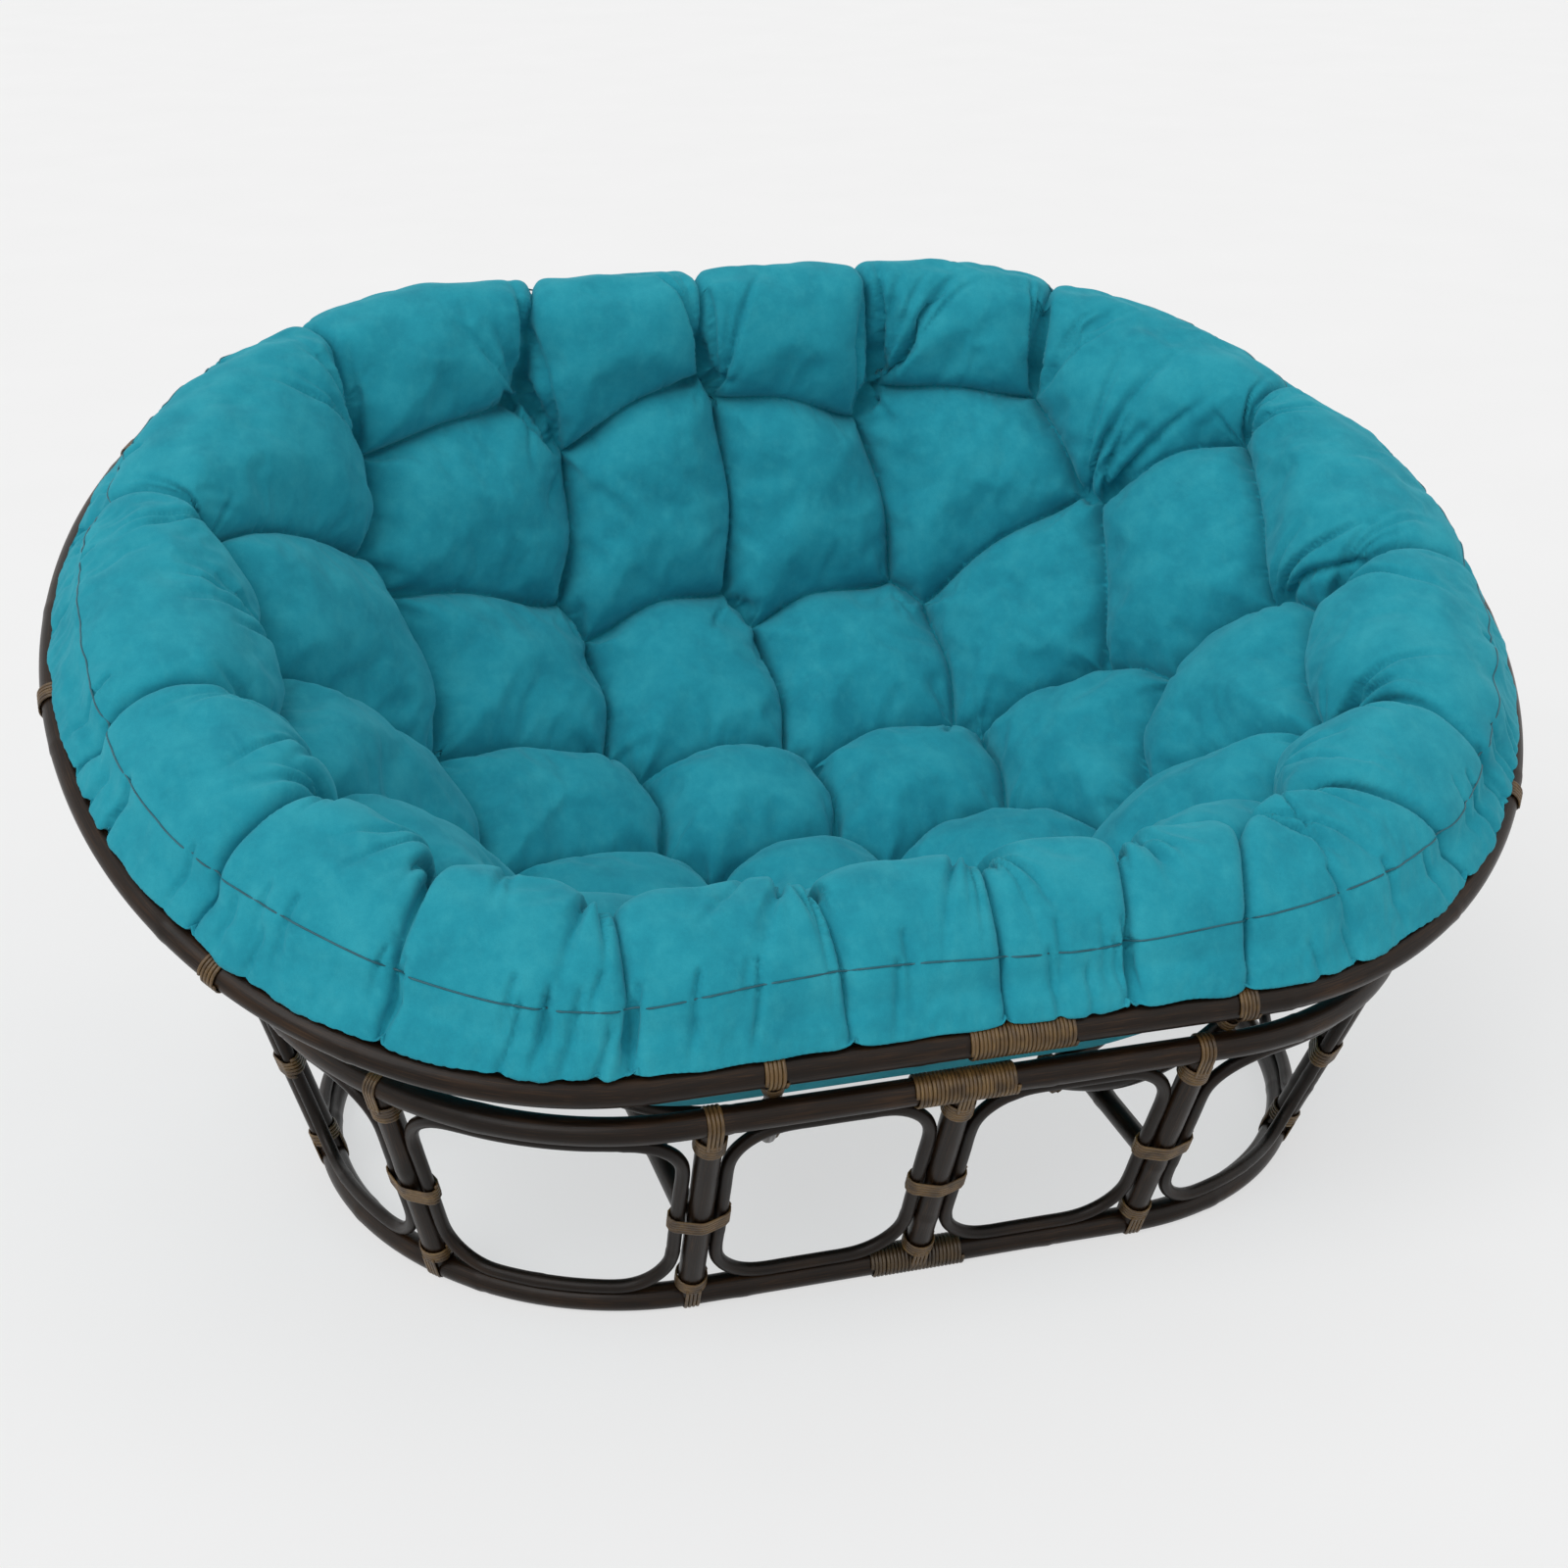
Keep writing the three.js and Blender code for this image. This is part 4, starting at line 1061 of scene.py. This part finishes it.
def sewn_lines():
    """The seams between neighbouring cells, as pairs of ends, and the tufts where they meet."""
    lines, tufts = [], []
    for i, centre in enumerate(CENTRES):
        corners = np.array([(-1, -1), (1, -1), (1, 1), (-1, 1)]) * float(FAR_CORNER)
        outline = [(corner, None) for corner in corners]
        for j in np.argsort(np.linalg.norm(CENTRES - centre, axis=1))[1:]:
            outline = cut(outline, (centre + CENTRES[j]) / 2, CENTRES[j] - centre, int(j))
        sides = [side for _, side in outline]
        for k, (corner, side) in enumerate(outline):
            if side is not None and i < side:
                lines.append((corner, outline[(k + 1) % len(outline)][0]))
            if side is not None and sides[k - 1] is not None:
                tufts.append(np.round(corner, 6))
    tufts = np.unique(np.array(tufts), axis=0)
    return lines, tufts[past_edge(tufts) < 0]


def line_bows():
    """Where, which way and how far each sewn line inside bows: the filling settles, so the folds
    between tufts bow up the dish."""
    bows = []
    for a, b in SEWN_LINES:
        middle, length = (a + b) / 2, np.linalg.norm(b - a)
        if past_edge(middle[None])[0] < BOW_LIMIT:
            way = np.array([a[1] - b[1], b[0] - a[0]]) / length
            way = way * np.sign(way @ np.array(BOW_WAY))
            bows.append((middle, way * min(length * BOW_SHARE, BOW_MOST), BOW_SPREAD * length))
    return bows


def bow(flat):
    """How far the bows of the sewn lines shift places on the flattened dish."""
    shift = np.zeros_like(flat)
    for middle, way, spread in LINE_BOWS:
        shift += np.exp(-((flat - middle) ** 2).sum(axis=1) / spread ** 2)[:, None] * way
    return shift


def bowed(flat):
    """Places on straight sewn lines, carried on to the bowed ones."""
    moved = flat
    for _ in range(4):
        moved = flat + bow(moved)
    return moved


def cell_measures(flat):
    """For places on the flattened dish: how far they are into their cell as a share of the way
    from its outline to its centre, and the distance to the nearest sewn line."""
    flat = flat - bow(flat)
    gaps = np.stack([np.linalg.norm(flat - centre, axis=1) for centre in CENTRES], axis=1)
    order = np.argsort(gaps, axis=1)[:, :NEAREST]
    rows = np.arange(len(flat))
    own = CENTRES[order[:, 0]]
    to_own = gaps[rows, order[:, 0]]
    far, share = [], []
    for k in range(1, NEAREST):
        apart = np.linalg.norm(CENTRES[order[:, k]] - own, axis=1)
        far.append((gaps[rows, order[:, k]] ** 2 - to_own ** 2) / (2 * apart))
        share.append(far[-1] / (apart / 2))
    return np.min(share, axis=0), np.min(far, axis=0)


def tuft_distance(flat):
    return np.min([np.linalg.norm(flat - tuft, axis=1) for tuft in TUFTS], axis=0)


def hermite(value, low, high):
    """0 below the low value, 1 above the high one, and a smooth rise between."""
    t = np.clip((value - low) / (high - low), 0, 1)
    return t * t * (3 - 2 * t)


def smooth_noise(points, scale, seed):
    """Gentle noise from -1 to 1 over places in a plane, as sums of a few waves."""
    rng = np.random.default_rng(seed)
    total = np.zeros(len(points))
    for _ in range(RIPPLE_WAVES):
        angle = rng.uniform(0, 2 * math.pi)
        way = np.array([math.cos(angle), math.sin(angle)]) * rng.uniform(0.6, 1.7) / scale
        total += np.sin(points @ way * 2 * math.pi + rng.uniform(0, 2 * math.pi))
    return total / RIPPLE_SPREAD


def seam_place(turns):
    """How far the edge seam lies past the edge of the top, as it wanders a little."""
    return SEAM_BAND + SEAM_WANDER * np.sin(turns * 2 * math.pi * SEAM_WAVES)


def line_net():
    """Places along the sewn lines and the edge seam, with the sides that join them."""
    places, sides, kinds = [], [], []

    def lay(line, closed, kind):
        first = len(places)
        inside = past_edge(line) < EDGE_BAND - LINE_STEP
        index = {}
        for k in np.nonzero(inside)[0]:
            index[k] = first + len(index)
            places.append(line[k])
        for k in range(len(line) if closed else len(line) - 1):
            a, b = index.get(k), index.get((k + 1) % len(line))
            if a is not None and b is not None:
                sides.append((a, b))
                kinds.append(kind)

    for a, b in SEWN_LINES:
        count = max(int(np.linalg.norm(b - a) / LINE_STEP), 1)
        lay(bowed(a + (b - a) * np.linspace(0, 1, count + 1)[:, None]), False, "sewn")
    lay(edge_ring(seam_place(RING_TURNS)), True, "seam")
    return np.array(places), sides, kinds


def skin_places():
    """Places that fill the flattened dish evenly, with a row close beside every sewn line."""
    side = 2 * CUSHION["half_length"]
    rows = np.arange(-side, side, CLOTH_STEP * math.sqrt(3) / 2)
    columns = np.arange(-side, side, CLOTH_STEP)
    y, x = np.meshgrid(rows, columns, indexing="ij")
    x = x + (np.arange(len(rows)) % 2 * CLOTH_STEP / 2)[:, None]
    even = np.stack([x.ravel(), y.ravel()], -1)
    even = even[past_edge(even) < EDGE_BAND - CLOTH_STEP / 2]
    even = even[cell_measures(even)[1] > LINE_ROW + CLOTH_STEP / 3]
    beside = []
    for a, b in SEWN_LINES:
        count = max(int(np.linalg.norm(b - a) / LINE_STEP), 1)
        across = np.array([a[1] - b[1], b[0] - a[0]]) / np.linalg.norm(b - a) * LINE_ROW
        middles = a + (b - a) * ((np.arange(count) + 0.5) / count)[:, None]
        beside += [middles + across, middles - across]
    beside = bowed(np.concatenate(beside))
    beside = beside[past_edge(beside) < EDGE_BAND - CLOTH_STEP / 2]
    beside = beside[cell_measures(beside)[1] > LINE_ROW * 0.9]
    places = np.concatenate([even, beside])
    return places[np.abs(past_edge(places) - seam_place(turn_of(places))) > CLOTH_STEP / 3]


def filled(ring):
    """Places inside a nearly level ring of points, and faces that look down and fill it."""
    middle = ring.mean(axis=0)
    around = ring - middle
    angles = np.arctan2(around[:, 1], around[:, 0])
    order = np.argsort(angles)
    size = np.abs(around[:, :2]).max()
    steps = np.arange(-size, size, SIDE_STEP)
    x, y = (grid.ravel() for grid in np.meshgrid(steps, steps))
    angle, far = np.arctan2(y, x), np.hypot(x, y)
    edge = np.interp(angle, angles[order], np.linalg.norm(around[order, :2], axis=1), period=2 * math.pi)
    rise = np.interp(angle, angles[order], around[order, 2], period=2 * math.pi)
    inside = far < edge - SIDE_STEP / 2
    inner = (middle + np.stack([x, y, rise * far / edge], -1))[inside]
    places = np.concatenate([ring, inner])
    _, _, faces, origins, _, _ = delaunay_2d_cdt([Vector(place[:2]) for place in places], [], [], 0, 1e-7)
    return inner, [[origins[corner][0] for corner in reversed(face)] for face in faces]


def cushion_skin():
    """The plain closed skin: points, faces, flattened places, how far each is part of the top,
    and its sewn sides with their kinds."""
    rim = edge_ring(EDGE_BAND)
    net, sides, kinds = line_net()
    inputs = np.concatenate([rim, net, skin_places()])
    ring = [(k, (k + 1) % SIDE_COUNT) for k in range(SIDE_COUNT)]
    ties = ring + [(a + SIDE_COUNT, b + SIDE_COUNT) for a, b in sides]
    corners = [Vector(place) for place in inputs]
    found, _, faces, origins, _, _ = delaunay_2d_cdt(corners, ties, [], 0, 1e-5)
    flat = np.array([tuple(place) for place in found])
    new_index = np.zeros(len(inputs), int)
    for k, merged in enumerate(origins):
        new_index[merged] = k
    faces = [tuple(face) for face in faces]
    points = on_skin(flat)
    top = np.clip(1 - past_edge(flat) / EDGE_BAND, 0, 1)
    last = new_index[:SIDE_COUNT]
    below = EDGE_BAND
    while below + SIDE_STEP < SIDE_PLACES[-1]:
        below += SIDE_STEP
        new = len(points) + np.arange(SIDE_COUNT)
        points = np.concatenate([points, down_side(RING_TURNS, np.full(SIDE_COUNT, below))])
        faces += [(last[k - 1], new[k - 1], new[k], last[k]) for k in range(SIDE_COUNT)]
        last = new
    inner, floor_faces = filled(points[last])
    index = np.concatenate([last, len(points) + np.arange(len(inner))])
    faces += [tuple(index[list(face)]) for face in floor_faces]
    points = np.concatenate([points, inner])
    extra = len(points) - len(flat)
    flat = np.concatenate([flat, np.repeat(rim[:1], extra, axis=0)])
    top = np.concatenate([top, np.zeros(extra)])
    ends = new_index[np.array(sides) + SIDE_COUNT].tolist()
    sewn = [(a, b, kind) for (a, b), kind in zip(ends, kinds)]
    return points, faces, flat, top, sewn


def read_vectors(collection, name):
    values = np.zeros(len(collection) * 3)
    collection.foreach_get(name, values)
    return values.reshape(-1, 3)


def set_corners(obj, verts):
    obj.data.vertices.foreach_set("co", np.asarray(verts, np.float64).ravel())
    obj.data.update()


def pushed_in(obj, depth):
    """The corners of a piece, each moved in along its normal."""
    corners = read_vectors(obj.data.vertices, "co")
    return corners - read_vectors(obj.data.vertex_normals, "vector") * depth[:, None]


def swell(obj, pins):
    """Blows the sewn skin up as cloth, held at its sewn lines, and gives its corners as they are then."""
    group = obj.vertex_groups.new(name="pins")
    levels = np.round(np.clip(pins, 0, 1) * PIN_LEVELS).astype(int)
    for level in np.unique(levels):
        if level > 0:
            group.add(np.nonzero(levels == level)[0].tolist(), level / PIN_LEVELS, "REPLACE")
    cloth = obj.modifiers.new("cloth", "CLOTH")
    settings = cloth.settings
    settings.quality = 5
    settings.mass = 0.25
    settings.tension_stiffness = 12
    settings.compression_stiffness = 12
    settings.shear_stiffness = 4
    settings.bending_stiffness = 0.3
    settings.use_pressure = True
    settings.uniform_pressure_force = PRESSURE
    settings.shrink_min = -SPARE_CLOTH
    settings.vertex_group_mass = "pins"
    settings.effector_weights.gravity = 0
    cloth.collision_settings.use_collision = False
    cloth.collision_settings.use_self_collision = False
    cloth.point_cache.frame_start = 1
    cloth.point_cache.frame_end = CLOTH_FRAMES
    scene = bpy.context.scene
    for step in range(1, CLOTH_FRAMES + 1):
        scene.frame_set(step)
    shown = obj.evaluated_get(bpy.context.evaluated_depsgraph_get())
    mesh = shown.to_mesh()
    corners = read_vectors(mesh.vertices, "co")
    shown.to_mesh_clear()
    obj.modifiers.remove(cloth)
    obj.vertex_groups.clear()
    scene.frame_set(1)
    return corners


def made_finer(obj, sewn):
    """One smooth subdivision that keeps the sewn lines sharp."""
    wanted = {(min(a, b), max(a, b)) for a, b, _ in sewn}
    ends = np.zeros(len(obj.data.edges) * 2, np.int32)
    obj.data.edges.foreach_get("vertices", ends)
    ends = np.sort(ends.reshape(-1, 2), axis=1)
    sharp = obj.data.attributes.new("crease_edge", "FLOAT", "EDGE")
    sharp.data.foreach_set("value", [float(tuple(pair) in wanted) for pair in ends.tolist()])
    finer = obj.modifiers.new("finer", "SUBSURF")
    finer.levels = finer.render_levels = 1
    bpy.context.view_layer.objects.active = obj
    obj.select_set(True)
    bpy.ops.object.modifier_apply(modifier="finer")
    obj.select_set(False)


def turned(way, angle):
    c, s = math.cos(angle), math.sin(angle)
    return np.array([way[0] * c - way[1] * s, way[0] * s + way[1] * c])


def dent(total, flat, start, way, length, wide, deep):
    """Adds a narrow fold that starts at a place and runs out along a way, deepest near its start."""
    near = np.nonzero((np.abs(flat - start) < length + 3 * wide).all(axis=1))[0]
    offset = flat[near] - start
    along = offset @ way / length
    across = offset @ np.array([-way[1], way[0]])
    width = wide * (FOLD_WIDTHS[0] + FOLD_WIDTHS[1] * np.clip(along, 0, 1))
    run = hermite(along, *FOLD_RISE) * (1 - hermite(along, *FOLD_FALL))
    total[near] += deep * run * np.exp(-(across / width) ** 2)


def add_fold(rng, total, flat, start, gap, outward, kind):
    """Adds a fold of one kind, drawn at random, that starts a gap away from a place."""
    turn, length, wide, deep = (rng.uniform(*bounds) for bounds in kind)
    way = turned(outward, turn)
    dent(total, flat, start + way * gap, way, length, wide, deep)


def folds(flat):
    """The depth of the small folds: short ones at every tuft, long ones over the edge at the
    lobes' seams, and gathers down the side under the edge seam."""
    rng = np.random.default_rng(FOLD_SEED)
    total = np.zeros(len(flat))
    for tuft in TUFTS:
        at_edge = reach_of(tuft) > EDGE_TUFT_REACH
        for _ in range(EDGE_TUFT_FOLDS if at_edge else TUFT_FOLDS):
            over_edge = at_edge and rng.uniform() < LONG_FOLD_SHARE
            add_fold(rng, total, flat, tuft, FOLD_GAP, unit(tuft), LONG_FOLD if over_edge else SHORT_FOLD)
    for edge in EDGE_FLAT[rng.integers(0, len(EDGE_FLAT), GATHERS)]:
        start = edge + unit(edge) * rng.uniform(*GATHER_START)
        add_fold(rng, total, flat, start, 0, unit(edge), GATHER)
    return total


def sewn_depth(flat, top, out):
    """How far the sewn lines and tufts pull the plain skin in. Out is 0 inside and 1 at the edge."""
    share = np.clip(cell_measures(flat)[0], 0, 1)
    depth = LINE_DEPTH + (TUFT_DEPTH - LINE_DEPTH) * np.exp(-(tuft_distance(flat) / TUFT_SPREAD) ** 2)
    depth = depth * (1 - (1 - EDGE_DEPTH_SHARE) * out) * np.sqrt(top)
    power = PUFF_POWER + (EDGE_PUFF_POWER - PUFF_POWER) * out
    right, behind = (hermite(flat[:, k], *BACK_RIGHT_BLENDS[k]) for k in (0, 1))
    back = hermite(flat[:, 1], *BACK_BLEND)
    inset = SKIN_INSET + BACK_INSET * back + BACK_RIGHT_INSET * (behind * right)
    return depth * (1 - np.sqrt(1 - (1 - share) ** power)) + inset * hermite(top, *INSET_TOP)


def blown_up(piece, verts, line, top, out):
    """The corners after the cloth has swelled, none of them moved further than it may be."""
    held = 1 - hermite(line, *PIN_LINE)
    pins = np.maximum(held * (1 - EDGE_PIN_EASE * out) * (top > PIN_LEAST_TOP), 1 - hermite(top, *PIN_TOP))
    move = swell(piece, pins) - verts
    far = np.linalg.norm(move, axis=1)
    most = MOST_MOVE * hermite(top, *MOVE_TOP) * hermite(line, *MOVE_LINE) + 1e-6
    return verts + move * (most * np.tanh(far / most) / np.maximum(far, 1e-9))[:, None]


def add_cushion():
    points, faces, flat, top, sewn = cushion_skin()
    piece = make_object("cushion_suede", to_world(points), faces, None, SUEDE)
    out = hermite(past_edge(flat), *EDGE_BLEND)
    verts = pushed_in(piece, sewn_depth(flat, top, out))
    set_corners(piece, verts)
    layer = piece.data.attributes.new("place", "FLOAT_VECTOR", "POINT")
    layer.data.foreach_set("vector", np.c_[flat, top].ravel())
    set_corners(piece, blown_up(piece, verts, cell_measures(flat)[1], top, out))
    made_finer(piece, sewn)
    place = read_vectors(piece.data.attributes["place"].data, "vector")
    flat, top = place[:, :2], place[:, 2]
    line = cell_measures(flat)[1]
    ripples = smooth_noise(flat, RIPPLE_SCALE, RIPPLE_SEED) * RIPPLE_HEIGHT * hermite(line, *MOVE_LINE)
    set_corners(piece, pushed_in(piece, (folds(flat) - ripples) * hermite(top, *FOLD_TOP)))
    polygons = piece.data.polygons
    polygons.foreach_set("use_smooth", [True] * len(polygons))
    piece.data.update()
    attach(piece, "cushion")
    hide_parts("cushion")
    add_edge_seam(piece, {a: b for a, b, kind in sewn if kind == "seam"})


def add_edge_seam(cushion, after):
    """The sewn line that runs round the edge, a thin cord half sunk in, whose darker teal is painted shade
    of the seam's groove.
    After gives each of its corners the next one."""
    ring = [min(after)]
    while after[ring[-1]] != ring[0]:
        ring.append(after[ring[-1]])
    line = smooth_line(read_vectors(cushion.data.vertices, "co")[ring], True, SEAM_STEP)
    parts = [tube_parts(line, SEAM_RADIUS, True, STRAND_SIDES)]
    add_piece("cushion_edge_seam", "cushion", parts, SEAM_SHADE)


# Floor, light and camera

def add_floor():
    """A wide floor. The camera sees it as pale paper that glows a little and keeps the shadow."""
    mesh = bpy.data.meshes.new("floor")
    corners = [(x * FLOOR_SIZE, y * FLOOR_SIZE, 0) for x, y in ((-1, -1), (1, -1), (1, 1), (-1, 1))]
    mesh.from_pydata(corners, [], [(0, 1, 2, 3)])
    floor = bpy.data.objects.new("floor", mesh)
    bpy.context.scene.collection.objects.link(floor)
    material, tree, shader = new_material("floor_pale")
    grain = tree.noise(tree.place((3, 3, 3), "Object"), 1.0, 3.0, 0.5)
    tone = tree.ramp(grain, (0.3, (0.80, 0.80, 0.80, 1)), (0.7, (0.83, 0.83, 0.83, 1)))
    tree.set(shader, {"Base Color": tone, "Roughness": 0.9, "Specular IOR Level": 0.1})
    paper = tree.add("Emission", {"Color": WHITE, "Strength": 1.0})
    tree.mix_seen("Material Output", tree.combined("MULTIPLY", tree.seen(), FLOOR_GLOW), shader, paper)
    mesh.materials.append(material)


def add_lights():
    world = bpy.data.worlds.new("studio")
    bpy.context.scene.world = world
    world.use_nodes = True
    tree = Tree(world.node_tree)
    background = tree.nodes["Background"]
    tree.set(background, {"Color": WORLD_GREY, "Strength": 1.0})
    paper = tree.add("Background", {"Color": WHITE, "Strength": 1.0})
    tree.mix_seen("World Output", tree.seen(), background, paper)
    for name, way, strength, angle in SUNS:
        data = bpy.data.lights.new(name, "SUN")
        data.energy = strength
        data.angle = math.radians(angle)
        lamp = bpy.data.objects.new(name, data)
        lamp.rotation_euler = Vector(way).to_track_quat("-Z", "Y").to_euler()
        bpy.context.scene.collection.objects.link(lamp)


def add_camera():
    sin_turn, cos_turn = math.sin(CAMERA_TURN), math.cos(CAMERA_TURN)
    sin_roll, cos_roll = math.sin(CAMERA_ROLL), math.cos(CAMERA_ROLL)
    level = math.cos(CAMERA_DIP)
    forward = np.array([sin_turn * level, cos_turn * level, -math.sin(CAMERA_DIP)])
    right = np.array([cos_turn, -sin_turn, 0])
    up = np.cross(right, forward)
    right, up = right * cos_roll + up * sin_roll, -right * sin_roll + up * cos_roll
    data = bpy.data.cameras.new("photo_camera")
    data.lens = CAMERA_LENS
    data.sensor_width = 36
    data.sensor_fit = "AUTO"
    data.shift_x = CAMERA_SHIFT
    camera = bpy.data.objects.new("photo_camera", data)
    matrix = Matrix.Identity(4)
    for row in range(3):
        matrix[row][0], matrix[row][1], matrix[row][2] = right[row], up[row], -forward[row]
    matrix.translation = Vector(CAMERA_PLACE)
    camera.matrix_world = matrix
    bpy.context.scene.collection.objects.link(camera)
    bpy.context.scene.camera = camera


# Values worked out once, and then the whole scene

POSTS = post_places()
RIBS = rib_places()
RING_TURNS = np.arange(SIDE_COUNT) / SIDE_COUNT
EDGE_TURNS = np.linspace(0, 1, 1201)
EDGE_FLAT = flattened(edge_plan(EDGE_TURNS))
EDGE_ANGLES = np.unwrap(np.arctan2(EDGE_FLAT[:, 1], EDGE_FLAT[:, 0]))
SIDE_SPANS = np.linalg.norm(np.diff(side_lines(EDGE_TURNS), axis=0), axis=2).max(axis=1)
SIDE_PLACES = np.r_[0, np.cumsum(SIDE_SPANS)]
CENTRES = cell_centres()
SEWN_LINES, TUFTS = sewn_lines()
LINE_BOWS = line_bows()

add_base_rings()
add_posts()
add_braces()
add_loops()
add_post_ties()
add_post_ends()
add_splices()
add_bowl()
add_rim_ties()
add_cushion()
add_floor()
add_lights()
add_camera()
bpy.context.scene.view_settings.view_transform = "Standard"

bpy.context.view_layer.update()
